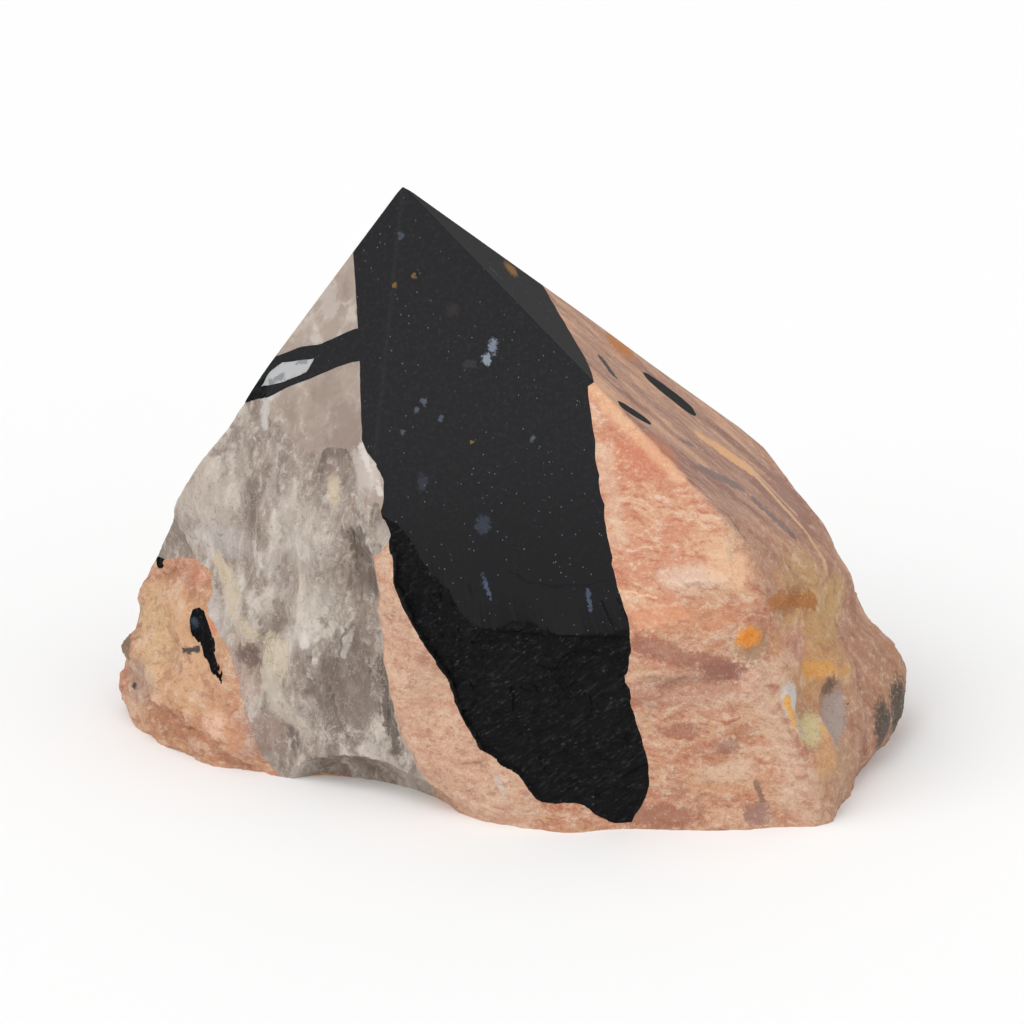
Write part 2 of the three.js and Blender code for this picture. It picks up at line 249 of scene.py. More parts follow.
# How strongly each mineral bends light, and the gloss of the big crystal and of the small ones
TOURMALINE_IOR = 1.63
QUARTZ_IOR = 1.544
FELDSPAR_IOR = 1.53
BIG_GLOSS = 0.1
SMALL_GLOSS = 0.05

# The floor's radius in metres and its corners; the suns' directions and widths in degrees
FLOOR_RADIUS = 3
FLOOR_CORNERS = 96
SUNS = {"key": ((-0.8, -0.7, 1.1), 60), "fill": ((0.9, -0.8, 0.7), 80)}
# The surroundings' brightness from the horizon down and from a height upwards, both as shares of the whole
SKY_LEVEL = 0.4
SKY_ABOVE = 1.15
SKY_HEIGHT = 0.75


def colour(red, green, blue):
    """Red, green and blue of 0 to 255 on a screen, as the linear colour that a shader works in."""
    share = np.array([red, green, blue]) / 255
    linear = np.where(share <= 0.04045, share / 12.92, ((share + 0.055) / 1.055) ** 2.4)
    return tuple(float(value) for value in linear)


def direction(azimuth, pitch=0.0):
    """Unit vectors at azimuths and a pitch above the horizontal, both in degrees."""
    turn = np.radians(np.asarray(azimuth, float))
    rise = np.radians(np.broadcast_to(np.asarray(pitch, float), turn.shape))
    return np.stack([np.sin(turn) * np.cos(rise), -np.cos(turn) * np.cos(rise), np.sin(rise)], -1)


def smooth_step(value, low, high):
    """0 below low, 1 above high, and an S-shaped curve between them."""
    share = np.clip((value - low) / (high - low), 0, 1)
    return share * share * (3 - 2 * share)


def gradient_noise(points, seed):
    """Smooth noise of about -1 to 1: a random slope at each corner of a unit grid, blended between the
    corners."""
    generator = np.random.default_rng(seed)
    slopes = generator.normal(size=(256, 3))
    slopes /= np.linalg.norm(slopes, axis=1, keepdims=True)
    shuffled = generator.permutation(256)
    cell = np.floor(points).astype(int)
    local = points - cell
    fade = local ** 3 * (local * (local * 6 - 15) + 10)
    total = np.zeros(len(points))
    for corner in itertools.product((0, 1), repeat=3):
        at = (cell + corner) & 255
        key = shuffled[(shuffled[(shuffled[at[:, 0]] + at[:, 1]) & 255] + at[:, 2]) & 255]
        weight = np.prod(np.where(corner, fade, 1 - fade), axis=1)
        total += weight * np.sum(slopes[key] * (local - corner), axis=1)
    return total * 1.6


def chips(points, seed):
    """Two reliefs from a grid of scattered centres, each point taking its nearest centre: the squared
    distance to it, which makes shallow bowls with sharp rims, and a plane tilted at random through it."""
    generator = np.random.default_rng(seed)
    scatter = generator.random((256, 3))
    tilts = generator.uniform(-1, 1, (256, 3))
    levels = generator.uniform(-0.5, 0.5, 256)
    shuffled = generator.permutation(256)
    cell = np.floor(points).astype(int)
    nearest = np.full(len(points), np.inf)
    plane = np.zeros(len(points))
    for step in itertools.product((-1, 0, 1), repeat=3):
        at = cell + step
        low = at & 255
        key = shuffled[(shuffled[(shuffled[low[:, 0]] + low[:, 1]) & 255] + low[:, 2]) & 255]
        offset = points - at - scatter[key]
        distance = np.sum(offset * offset, axis=1)
        closer = distance < nearest
        nearest = np.where(closer, distance, nearest)
        plane = np.where(closer, np.sum(tilts[key] * offset, axis=1) + levels[key], plane)
    return nearest, plane


def sizes():
    """The sizes set in the sidebar."""
    return bpy.context.scene.specimen_sizes


def ground_radius(azimuth, z):
    """Distance from the apex's axis to the ground facets: the least of six planes that each hold the apex
    and two ridges, rounded at the ridges, most of all low down in the feldspar, and blunted at the tip."""
    down = direction([ridge[0] for ridge in RIDGES], [-ridge[1] for ridge in RIDGES])
    normals = np.cross(down, np.roll(down, -1, axis=0))
    normals *= np.sign(normals[:, 2:]) / np.linalg.norm(normals, axis=1, keepdims=True)
    facing = np.maximum(direction(azimuth) @ normals.T, 1e-3)
    reach = np.maximum(HEIGHT - z, 1e-6)[..., None] * normals[:, 2] / facing
    nearest = reach.min(axis=-1)
    soft = smooth_step(azimuth, *SOFT_AZIMUTHS) * smooth_step(SOFT_BELOW - z, 0, SOFT_FADE)
    wear = (sizes().ridge_wear + sizes().low_wear * soft) / MM
    total = np.exp(-(reach - nearest[..., None]) / wear[..., None]).sum(axis=-1)
    start = sizes().tip_wear / MM
    worn = np.clip((z - HEIGHT + start) / (start - TIP_LOSS), 0, 1)
    return np.maximum(nearest - wear * np.log(total), 0) * np.sqrt(1 - worn ** 3)


def wall_radius(azimuth, z):
    """Distance from the axis to the broken flanks: the least of the walls' distances with rounded corners,
    plus each lump as a bell curve over azimuth and height, plus waves."""
    total = 0
    for turn, lean, reach in WALLS:
        facing = np.cos(np.radians(azimuth - turn))
        radius = (reach - z * math.tan(math.radians(lean))) / np.maximum(facing, LEAST_FACING)
        total = total + np.where(facing > LEAST_FACING, np.exp(-radius / EDGE_SOFTNESS), 0)
    radius = -EDGE_SOFTNESS * np.log(total)
    for turn, height, out, across, tall in LUMPS:
        around = (azimuth - turn + 180) % 360 - 180
        radius = radius + out * np.exp(-(around / across) ** 2 - ((z - height) / tall) ** 2)
    points = at_radius(azimuth, z, radius)
    for out, x, y, up, shift in WAVES:
        radius = radius + out * np.sin(points @ np.array([x, y, up]) + shift)
    return radius


def at_radius(azimuth, z, radius):
    """The points at a distance from the apex's axis."""
    points = direction(azimuth) * radius[..., None]
    points[..., 0] += APEX[0]
    points[..., 1] += APEX[1]
    points[..., 2] = z
    return points


def scoop_radius(azimuth, z):
    """Distance from the axis at which a level line enters the scoop, an ellipsoid, or a great distance."""
    turn = np.array([direction(SCOOP_TURN), direction(SCOOP_TURN + 90), (0, 0, 1)])
    start = np.stack([np.full_like(z, APEX[0]), np.full_like(z, APEX[1]), z], -1) - SCOOP_CENTRE
    start = start @ turn.T / SCOOP_HALF
    way = direction(azimuth) @ turn.T / SCOOP_HALF
    a = np.sum(way * way, axis=-1)
    b = np.sum(way * start, axis=-1)
    inside = b * b - a * (np.sum(start * start, axis=-1) - 1)
    entry = (-b - np.sqrt(np.maximum(inside, 0))) / a
    return np.where((inside > 0) & (entry > 0), entry, FAR_AWAY)


def outline_depth(points, outline):
    """How deep points lie inside an outline of X and Z points, negative outside: the distance to the nearest
    side, with its sign from how often a level line crosses the outline."""
    x, z = points[:, 0], points[:, 2]
    nearest = np.full(len(points), np.inf)
    inside = np.zeros(len(points), bool)
    for (ax, az), (bx, bz) in zip(outline, outline[1:] + outline[:1]):
        along = (x - ax) * (bx - ax) + (z - az) * (bz - az)
        share = np.clip(along / ((bx - ax) ** 2 + (bz - az) ** 2), 0, 1)
        nearest = np.minimum(nearest, np.hypot(x - ax - share * (bx - ax), z - az - share * (bz - az)))
        if az != bz:
            crossing = (z < az) != (z < bz)
            inside ^= crossing & (x < ax + (z - az) * (bx - ax) / (bz - az))
    return np.where(inside, nearest, -nearest)


def edge_wander(points, seed):
    """How far a border between two minerals wanders: coarse and fine noise, almost none on the ground
    upper part of the big crystal."""
    loose = 0.25 + 0.75 * smooth_step(45 - points[:, 2], 0, 4)
    coarse = gradient_noise(points / 2.1, seed)
    return loose * (0.34 * coarse + 0.13 * gradient_noise(points / 0.6, seed + 1))


def face_wander(points, name):
    """How far one face of the big crystal lies outside its plane."""
    _, _, _, axis, places, distances = CRYSTAL_FACES[name]
    return np.interp(points[:, axis], places, distances) + edge_wander(points, FACE_SEED + axis)


def branch_wander(points):
    """How far the branch's outline wanders."""
    return edge_wander(points, BRANCH_SEED) * 0.5


def crystal_depth(points):
    """How deep points lie inside the big crystal or its branch, negative outside."""
    prism = np.full(len(points), np.inf)
    for name, (at, azimuth, pitch, *_) in CRYSTAL_FACES.items():
        prism = np.minimum(prism, face_wander(points, name) - (points - at) @ direction(azimuth, pitch))
    branch = outline_depth(points, BRANCH_OUTLINE) + branch_wander(points)
    branch = np.minimum(branch, BRANCH_BACK - points[:, 1])
    return np.maximum(prism, branch)


def quartz_depth(points):
    """How deep points lie inside the quartz, negative outside; the big crystal isn't taken out."""
    at, azimuth, pitch = QUARTZ_FLOOR
    over_floor = (at - points) @ direction(azimuth, pitch)
    return np.minimum(outline_depth(points, QUARTZ_OUTLINE) + edge_wander(points, QUARTZ_SEED), over_floor)


def feldspar_relief(points):
    """Low blocks of two sizes, soft swells and a granular skin, about 1 at most, and half as high again
    in the loose lump at the left. Here and below, each pattern has a size, by which the points are
    divided, and a seed of its own."""
    _, blocks = chips(points / (3.6, 3.0, 2.6), 51)
    bowls, small = chips(points / 1.2, 52)
    swells = gradient_noise(points / 2.6, 54)
    grain = gradient_noise(points / 0.45, 53)
    loose = 0.7 + 0.8 * smooth_step(-points[:, 0], 24, 32)
    return loose * (0.7 * blocks + 0.8 * swells + 0.35 * small + 0.2 * bowls + 0.2 * grain)


def quartz_relief(points):
    """Upright flutes with splinters between them, soft swells and a fine skin, about 1 at most."""
    lean = points[:, [0]] * (0, 0, 1)
    flutes, blades = chips((points + lean * 0.25) / (2.4, 2.7, 9), 61)
    small, splinters = chips((points - lean * 0.2) / (0.9, 1.0, 2.6), 62)
    swells = gradient_noise(points / (2.2, 2.2, 5), 64)
    grain = gradient_noise(points / (0.35, 0.35, 0.6), 63)
    out = 0.9 * (flutes - 0.35) + 0.6 * blades + 0.6 * swells
    return out + 0.35 * (small - 0.3) + 0.25 * splinters + 0.16 * grain


def tourmaline_relief(points):
    """Fibrous strokes that rise to the right, blocks across them and a granular skin, about 1 at most."""
    run, rise = FIBRES
    along = points[:, 0] * run + points[:, 2] * rise
    across = points[:, 2] * run - points[:, 0] * rise
    strokes = np.stack([along / 4.2, points[:, 1] / 2.5, across / 0.85], 1)
    ridges = 1 - 2 * np.abs(gradient_noise(strokes, 71))
    _, blocks = chips(points / (4.2, 3, 2.2), 72)
    _, small = chips(points / 0.8, 73)
    grain = gradient_noise(points / 0.4, 74)
    return 0.35 * ridges + 0.9 * blocks + 0.4 * small + 0.3 * grain


def relief(points):
    """What the break of each mineral adds to the flanks, with the feldspar strip left of the crystal
    standing proud, a step under the crystal's ground face, and the single forms."""
    crystal = smooth_step(crystal_depth(points), -0.1, 0.2)
    quartz = smooth_step(quartz_depth(points), -0.3, 0.4) * (1 - crystal)
    feldspar = 1 - crystal - quartz
    out = crystal * tourmaline_relief(points) * sizes().tourmaline_relief / MM
    out += quartz * quartz_relief(points) * sizes().quartz_relief / MM
    out += feldspar * feldspar_relief(points) * sizes().feldspar_relief / MM
    x, y, z = points.T
    across = smooth_step(x, *STRIP_LEFT) * smooth_step(-x, *STRIP_RIGHT)
    strip = feldspar * across * smooth_step(-y, *STRIP_FRONT)
    crest = 0.7 + 0.6 * np.exp(-((x - STRIP_CREST) / STRIP_CREST_HALF) ** 2)
    out += strip * sizes().strip_height / MM * crest
    fade = np.exp(-np.maximum(STEP_FADE[0] - z, 0) / STEP_FADE[1])
    step = smooth_step(STEP_HEIGHT - STEP_SLOPE * (x + 2) - z, 0, 0.5) * fade
    out -= crystal * step * STEP_DEPTH * smooth_step(x, *STEP_START)
    for centre, half, height in FORMS:
        out += height * np.exp(-np.sum(((points - centre) / half) ** 2, axis=1) ** 2)
    for places, width, height in RIBS:
        out += height * np.exp(-(path_distance(points, places) / width) ** 2)
    return out


def path_distance(points, places):
    """Distance from points to a path of straight pieces."""
    nearest = np.full(len(points), np.inf)
    for start, end in zip(np.array(places), np.array(places)[1:]):
        way = end - start
        share = np.clip((points - start) @ way / (way @ way), 0, 1)[:, None]
        nearest = np.minimum(nearest, np.linalg.norm(points - start - share * way, axis=1))
    return nearest


def broken_radius(azimuth, z):
    """Distance from the axis to the broken surface: flanks and relief, or the scoop where it is nearer."""
    radius = wall_radius(azimuth, z)
    points = at_radius(azimuth, z, radius).reshape(-1, 3)
    radius = radius + relief(points).reshape(radius.shape)
    chipped = gradient_noise(points / (1.6, 1.6, 3), 81).reshape(radius.shape)
    radius -= BASE_CHIPS * np.maximum(chipped, 0) * np.exp(-z / BASE_CHIPS_HEIGHT)
    return np.minimum(radius, scoop_radius(azimuth, z) + SCOOP_ROUGHNESS * chipped)


@functools.cache
def azimuths():
    """Azimuths spaced evenly along the stone's outline at a low level, with every ridge among them."""
    probe = np.linspace(-180, 180, PROBE_STEPS + 1)
    level = np.full_like(probe, PROBE_HEIGHT)
    points = at_radius(probe, level, wall_radius(probe, level))
    travelled = np.append(0, np.cumsum(np.linalg.norm(np.diff(points, axis=0), axis=1)))
    even = np.interp(np.linspace(0, travelled[-1], STEPS_AROUND + 1)[:-1], travelled, probe)
    for azimuth, _ in RIDGES:
        wrapped = (azimuth + 180) % 360 - 180
        even[np.argmin(np.abs(even - wrapped))] = wrapped
    return np.sort(even)


@functools.cache
def stone_surface():
    """The whole stone as rows of points. At each azimuth the heights run evenly from the base to where the
    broken flank meets the ground facets, found by halving and kept from jumping between neighbours, and
    closer together from there to the tip."""
    around = azimuths()
    levels = np.linspace(*TOP_BETWEEN, TOP_STEPS + 1)[:, None]
    grid, heights = np.broadcast_arrays(around[None, :], levels)
    broken = broken_radius(grid, heights.copy()) < ground_radius(grid, heights)
    last = len(levels) - 1 - np.argmax(broken[::-1], axis=0)
    low = levels[last, 0]
    high = low + (levels[1, 0] - levels[0, 0])
    for _ in range(HALVINGS):
        middle = (low + high) / 2
        is_broken = broken_radius(around, middle) < ground_radius(around, middle)
        low = np.where(is_broken, middle, low)
        high = np.where(is_broken, high, middle)
    found = low
    for apart in range(1, RISE_COLUMNS):
        beside = np.maximum(np.roll(found, apart), np.roll(found, -apart))
        low = np.maximum(low, beside - apart * MOST_RISE)
    lower = np.linspace(0, 1, STEPS_BROKEN + 1)[:, None] * low
    rise = np.linspace(0, 1, STEPS_GROUND + 2)[1:-1, None]
    upper = low + (HEIGHT - TIP_LOSS - low) * (1 - (1 - rise) ** 2)
    z = np.concatenate([lower, upper])
    turn = np.broadcast_to(around, z.shape)
    worn = smooth_step(turn, *SOFT_MEETING_STARTS) * (1 - smooth_step(turn, *SOFT_MEETING_ENDS))
    soft = MEETING + SOFT_MEETING * worn
    broken, ground = broken_radius(turn, z), ground_radius(turn, z)
    joined = np.minimum(broken, ground) - soft * np.log1p(np.exp(-np.abs(broken - ground) / soft))
    return at_radius(turn, z, joined)


def temporary(name, vertices, faces):
    """A mesh object in millimetres, with its faces turned outwards."""
    mesh = bpy.data.meshes.new(name)
    mesh.from_pydata(vertices, [], faces)
    work = bmesh.new()
    work.from_mesh(mesh)
    bmesh.ops.recalc_face_normals(work, faces=work.faces)
    work.to_mesh(mesh)
    work.free()
    made = bpy.data.objects.new(name, mesh)
    bpy.context.collection.objects.link(made)
    return made


def ring_faces(rows, count):
    """Quads between neighbouring rows of a grid that closes on itself."""
    first = np.arange(rows - 1)[:, None] * count
    here = first + np.arange(count)
    after = first + (np.arange(count) + 1) % count
    return np.stack([here, after, after + count, here + count], -1).reshape(-1, 4).tolist()


def closed_faces(rows, count):
    """The quads of such a grid with a fan of triangles at each end, round two points that come last."""
    here = np.arange(count)
    after = (here + 1) % count
    top = (rows - 1) * count
    start = np.stack([after, here, np.full(count, rows * count)], 1).tolist()
    end = np.stack([top + here, top + after, np.full(count, rows * count + 1)], 1).tolist()
    return ring_faces(rows, count) + start + end


def stone_object():
    """The whole stone as one closed mesh: the rows of points, a flat cap below and a pole on top."""
    rows = stone_surface()
    vertices = np.concatenate([rows.reshape(-1, 3), [(APEX[0], APEX[1], 0)], [APEX - (0, 0, TIP_LOSS)]])
    return temporary("stone", vertices, closed_faces(*rows.shape[:2]))


def face_block(name, at, azimuth, pitch, wander):
    """A block that fills what lies beyond a plane: a grid on the plane, each point moved along the plane's
    normal by a function of its place, with flat sides and back."""
    normal = direction(azimuth, pitch)
    level = np.cross((0, 0, 1), normal)
    level = np.array([1.0, 0, 0]) if np.linalg.norm(level) < 1e-6 else level / np.linalg.norm(level)
    upward = np.cross(normal, level)
    count = int(2 * FACE_HALF / FACE_STEP) + 1
    steps = np.linspace(-FACE_HALF, FACE_HALF, count)
    u, v = np.meshgrid(steps, steps)
    flat = np.asarray(at, float) + u.reshape(-1, 1) * level + v.reshape(-1, 1) * upward
    front = flat + wander(flat)[:, None] * normal
    index = np.arange(count * count).reshape(count, count)
    quads = np.stack([index[:-1, :-1], index[:-1, 1:], index[1:, 1:], index[1:, :-1]], -1).reshape(-1, 4)
    loop = np.concatenate([index[0, :-1], index[:-1, -1], index[-1, :0:-1], index[:0:-1, 0]])
    back = flat[loop] + BLOCK * normal
    ends = len(front) + np.arange(len(loop))
    sides = np.stack([loop, np.roll(loop, -1), np.roll(ends, -1), ends], 1)
    return temporary(name, np.concatenate([front, back]), quads.tolist() + sides.tolist() + [ends.tolist()])


def outline_block(name, outline, wander, back=OUTLINE_REACH):
    """An outline of X and Z points carried along Y, its sides resampled at even steps and each point moved
    square to the outline by a function of its place."""
    corners = np.array(outline + outline[:1], float)
    lengths = np.append(0, np.cumsum(np.linalg.norm(np.diff(corners, axis=0), axis=1)))
    along = np.linspace(0, lengths[-1], int(lengths[-1] / OUTLINE_STEP) + 1)[:-1]
    path = np.stack([np.interp(along, lengths, corners[:, 0]), np.interp(along, lengths, corners[:, 1])], 1)
    side = np.roll(path, -1, axis=0) - np.roll(path, 1, axis=0)
    side = np.stack([side[:, 1], -side[:, 0]], 1) / np.linalg.norm(side, axis=1, keepdims=True)
    x, z = path.T
    side *= np.sign(np.sum(x * np.roll(z, -1) - np.roll(x, -1) * z))
    depth = np.linspace(-OUTLINE_REACH, back, int((back + OUTLINE_REACH) / OUTLINE_DEPTH_STEP) + 1)
    grid = np.zeros((len(depth), len(path), 3))
    grid[..., 0] = path[:, 0]
    grid[..., 1] = depth[:, None]
    grid[..., 2] = path[:, 1]
    out = wander(grid.reshape(-1, 3)).reshape(len(depth), len(path))
    grid[..., 0] += out * side[:, 0]
    grid[..., 2] += out * side[:, 1]
    near = np.arange(len(path))
    far = near + (len(depth) - 1) * len(path)
    faces = ring_faces(len(depth), len(path)) + [near.tolist(), far.tolist()]
    return temporary(name, grid.reshape(-1, 3), faces)


def pebble(name, centre, along, half, taper, squareness, seed):
    """A small crystal: an ellipsoid of angle and height, squared off towards a box, thinned towards its
    far end and roughened."""
    around = np.linspace(0, 2 * np.pi, PEBBLE_AROUND + 1)[:-1]
    turn, rise = np.meshgrid(around, np.linspace(-np.pi / 2, np.pi / 2, PEBBLE_ROWS + 1)[1:-1])
    ball = np.stack([np.sin(rise), np.cos(rise) * np.cos(turn), np.cos(rise) * np.sin(turn)], -1)
    ball = np.concatenate([ball.reshape(-1, 3), [(-1, 0, 0), (1, 0, 0)]])
    squared = ball / np.sum(np.abs(ball) ** squareness, axis=1, keepdims=True) ** (1 / squareness)
    squared *= 1 + PEBBLE_ROUGHNESS * gradient_noise(squared * 1.9 + seed, seed)[:, None]
    squared[:, 1] *= 1 - taper * (squared[:, 0] + 1) / 2
    first = np.array(along, float) / np.linalg.norm(along)
    second = np.cross((0, 0, 1), first)
    second /= np.linalg.norm(second)
    axes = np.stack([first, second, np.cross(first, second)])
    vertices = (squared * PEBBLE_FIT * np.array(half)) @ axes + centre
    return temporary(name, vertices, closed_faces(*turn.shape))


def combined(target, tool, operation):
    """The target joined with, cut by or kept inside the tool, as a new object; both stay."""
    modifier = target.modifiers.new("combine", "BOOLEAN")
    modifier.solver = "MANIFOLD"
    modifier.operation = operation
    modifier.object = tool
    bpy.context.view_layer.update()
    shaped = target.evaluated_get(bpy.context.evaluated_depsgraph_get())
    mesh = bpy.data.meshes.new_from_object(shaped)
    target.modifiers.remove(modifier)
    if not mesh.polygons:
        raise RuntimeError(f"nothing is left of {target.name} after {operation} with {tool.name}")
    made = bpy.data.objects.new(target.name + "_part", mesh)
    bpy.context.collection.objects.link(made)
    return made


@functools.cache
def minerals():
    """Every mineral cut out of the stone, as meshes in millimetres by name."""
    stone = stone_object()
    room = temporary("room", *box_shape(BLOCK / 2))
    for name, (at, azimuth, pitch, *_) in CRYSTAL_FACES.items():
        wander = functools.partial(face_wander, name=name)
        room = combined(room, face_block(name, at, azimuth, pitch, wander), "DIFFERENCE")
    branch = outline_block("branch", BRANCH_OUTLINE, branch_wander, BRANCH_BACK)
    pocket = outline_block("pocket", POCKET_OUTLINE, lambda at: edge_wander(at, POCKET_SEED))
    room = combined(room, combined(branch, pocket, "DIFFERENCE"), "UNION")
    floor = face_block("floor", *QUARTZ_FLOOR, lambda at: edge_wander(at, FLOOR_SEED) * 2)
    quartz_room = outline_block("quartz_room", QUARTZ_OUTLINE, lambda at: edge_wander(at, QUARTZ_SEED))
    quartz_room = combined(quartz_room, floor, "DIFFERENCE")
    rest = combined(stone, room, "DIFFERENCE")
    parts = {
        "tourmaline_crystal": combined(stone, room, "INTERSECT"),
        "smoky_quartz": combined(rest, quartz_room, "INTERSECT"),
    }
    feldspar = combined(rest, quartz_room, "DIFFERENCE")
    for seed, (node, piece, *shape) in enumerate(SMALL_TOURMALINES):
        small = pebble(piece + "_room", *shape, seed)
        parts[node] = combined(feldspar, small, "INTERSECT")
        feldspar = combined(feldspar, small, "DIFFERENCE")
    parts["feldspar"] = feldspar
    kept = {name: made.data.copy() for name, made in parts.items()}
    for made in [made for made in bpy.data.objects if made.type == "MESH" and "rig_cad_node" not in made]:
        used = made.data
        bpy.data.objects.remove(made)
        bpy.data.meshes.remove(used)
    return kept


def box_shape(half):
    """The corners and faces of a cube."""
    corners = [(x * half, y * half, z * half) for x, y, z in itertools.product((-1, 1), repeat=3)]
    faces = [(0, 1, 3, 2), (4, 6, 7, 5), (0, 4, 5, 1), (2, 3, 7, 6), (0, 2, 6, 4), (1, 5, 7, 3)]
    return corners, faces


def stone_shift():
    """From the stone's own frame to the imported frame, in metres: the way from one tip to the other."""
    mesh = frame["nodes"]["tourmaline_crystal"].data
    places = np.empty(len(mesh.vertices) * 3)
    mesh.vertices.foreach_get("co", places)
    places = places.reshape(-1, 3)
    return places[np.argmax(places[:, 2])] - APEX * MM


def is_ground(points):
    """Whether points lie on the ground facets rather than on the break."""
    x, y = points[:, 0] - APEX[0], points[:, 1] - APEX[1]
    return np.hypot(x, y) > ground_radius(np.degrees(np.arctan2(x, -y)), points[:, 2]) - GROUND_MARGIN


def finished(piece, node, material):
    """A mineral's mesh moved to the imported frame, with its ground faces and the depth of its hollows in
    millimetres marked for the material, riding on the root in place of its node."""
    mesh = minerals()[node].copy()
    mesh.name = piece
    middles = np.empty(len(mesh.polygons) * 3)
    mesh.polygons.foreach_get("center", middles)
    ground = is_ground(middles.reshape(-1, 3))
    mesh.attributes.new("ground", "FLOAT", "FACE").data.foreach_set("value", ground.astype(np.float32))
    places = np.empty(len(mesh.vertices) * 3)
    mesh.vertices.foreach_get("co", places)
    places = places.reshape(-1, 3)
    depth = -relief(places)
    mesh.attributes.new("hollow", "FLOAT", "POINT").data.foreach_set("value", depth.astype(np.float32))
    places = places * MM + stone_shift()
    mesh.vertices.foreach_set("co", places.astype(np.float32).ravel())
    mesh.polygons.foreach_set("use_smooth", ~ground)
    mesh.set_sharp_from_angle(angle=math.radians(SHARP_ANGLE))
    mesh.materials.clear()
    mesh.materials.append(material)
    mesh.update()
    made = bpy.data.objects.new(piece, mesh)
    bpy.context.collection.objects.link(made)
    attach(made, "root")
    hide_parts(node)


class Shade:
    """A value, vector or colour of a material. Sums on it add the nodes that work them out."""

    def __init__(self, tree, socket=None):
        self.tree = tree
        self.socket = socket

    def make(self, kind, settings, values, output=0):
        """A node of a type, with its settings, then the values or links of its sockets."""
        node = self.tree.nodes.new(kind)
        for name, value in settings.items():
            setattr(node, name, value)
        pairs = values.items() if isinstance(values, dict) else enumerate(values)
        for name, value in pairs:
            if isinstance(value, Shade):
                self.tree.links.new(value.socket, node.inputs[name])
            else:
                node.inputs[name].default_value = value
        return Shade(self.tree, node.outputs[output])

    def sum(self, operation, *terms):
        wide = any(isinstance(t, tuple) or isinstance(t, Shade) and t.socket.type != "VALUE" for t in terms)
        if wide:
            terms = [(t, t, t) if isinstance(t, (int, float)) else t for t in terms]
        kind = "ShaderNodeVectorMath" if wide else "ShaderNodeMath"
        return self.make(kind, {"operation": operation}, terms)

    def __add__(self, other):
        return self.sum("ADD", self, other)

    def __sub__(self, other):
        return self.sum("SUBTRACT", self, other)

    def __rsub__(self, other):
        return self.sum("SUBTRACT", other, self)

    def __mul__(self, other):
        return self.sum("MULTIPLY", self, other)

    def __truediv__(self, other):
        return self.sum("DIVIDE", self, other)

    def __abs__(self):
        return self.sum("ABSOLUTE", self)

    __radd__ = __add__
    __rmul__ = __mul__

    def most(self, other):
        return self.sum("MAXIMUM", self, other)

    def least(self, other):
        return self.sum("MINIMUM", self, other)

    def step(self, low, high):
        """0 below low, 1 above high, and an S-shaped curve between them; low may be the greater."""
        flip = low > high
        values = {"Value": self, "From Min": min(low, high), "From Max": max(low, high)}
        settings = {"interpolation_type": "SMOOTHSTEP"}
        made = self.make("ShaderNodeMapRange", settings, values)
        return 1 - made if flip else made

    def noise(self, detail=3.0, roughness=0.5, output="Fac"):
        values = {"Vector": self, "Scale": 1.0, "Detail": detail, "Roughness": roughness}
        return self.make("ShaderNodeTexNoise", {}, values, output)

    def cells(self, output="Distance"):
        return self.make("ShaderNodeTexVoronoi", {}, {"Vector": self, "Scale": 1.0}, output)

    def mixed(self, other, share):
        """This colour turned into another by a share of 0 to 1."""
        other = (*other, 1.0) if isinstance(other, tuple) else other
        return self.make("ShaderNodeMix", {"data_type": "RGBA"}, {0: share, 6: self, 7: other}, 2)

    def layered(self, layers, where=None):
        """This colour with layers laid over it in turn, everywhere or only where a mask says. A layer is a
        pattern, the values of it where the layer starts and is full, its share and its colour."""
        tone = self
        for pattern, start, full, share, tint in layers:
            mask = pattern.step(start, full) if where is None else where * pattern.step(start, full)
            tone = tone.mixed(colour(*tint), mask * share)
        return tone

    def length(self):
        return self.make("ShaderNodeVectorMath", {"operation": "LENGTH"}, [self], "Value")

    def along(self, way):
        """How far this place lies along a direction."""
        return self.make("ShaderNodeVectorMath", {"operation": "DOT_PRODUCT"}, [self, way], "Value")

    def turned(self, first, second, third):
        """This place measured along three directions."""
        return self.make("ShaderNodeCombineXYZ", {}, [self.along(way) for way in (first, second, third)])

    def ragged(self, size, out):
        """This place shaken by noise of a size, so that outlines drawn on it are uneven."""
        return self + ((self * (1 / size)).noise(3, 0.6, "Color") - 0.5) * (2 * out)

    def patch(self, centre, half, shake, edge):
        """1 inside an ellipsoid round a centre, 0 outside it. The shake, a noise, makes its rim uneven;
        the soft edge is a share of its size."""
        return (((self - centre) / half).length() + shake).step(1 + edge, 1 - edge)

    def path(self, places, width, shake, edge):
        """1 nearer than a width to a path of straight pieces, 0 outside it, with the same kind of rim."""
        nearest = None
        for start, end in zip(places, places[1:]):
            way = tuple(b - a for a, b in zip(start, end))
            square = sum(part * part for part in way)
            offset = self - start
            share = offset.along(tuple(part / square for part in way)).most(0.0).least(1.0)
            reached = self.make("ShaderNodeVectorMath", {"operation": "SCALE"}, {0: way, "Scale": share})
            away = (offset - reached).length()
            nearest = away if nearest is None else nearest.least(away)
        return (nearest * (1 / width) + shake).step(1 + edge, 1 - edge)

    def painted(self, place, marks, shake, edge=0.3):
        """This colour with marks laid over it in turn. A mark is a centre and half-sizes, or places on a
        path and a half-width, then its share and its colour."""
        tone = self
        for where, size, share, tint in marks:
            shape = place.path if isinstance(where[0], tuple) else place.patch
            tone = tone.mixed(colour(*tint), shape(where, size, shake, edge) * share)
        return tone


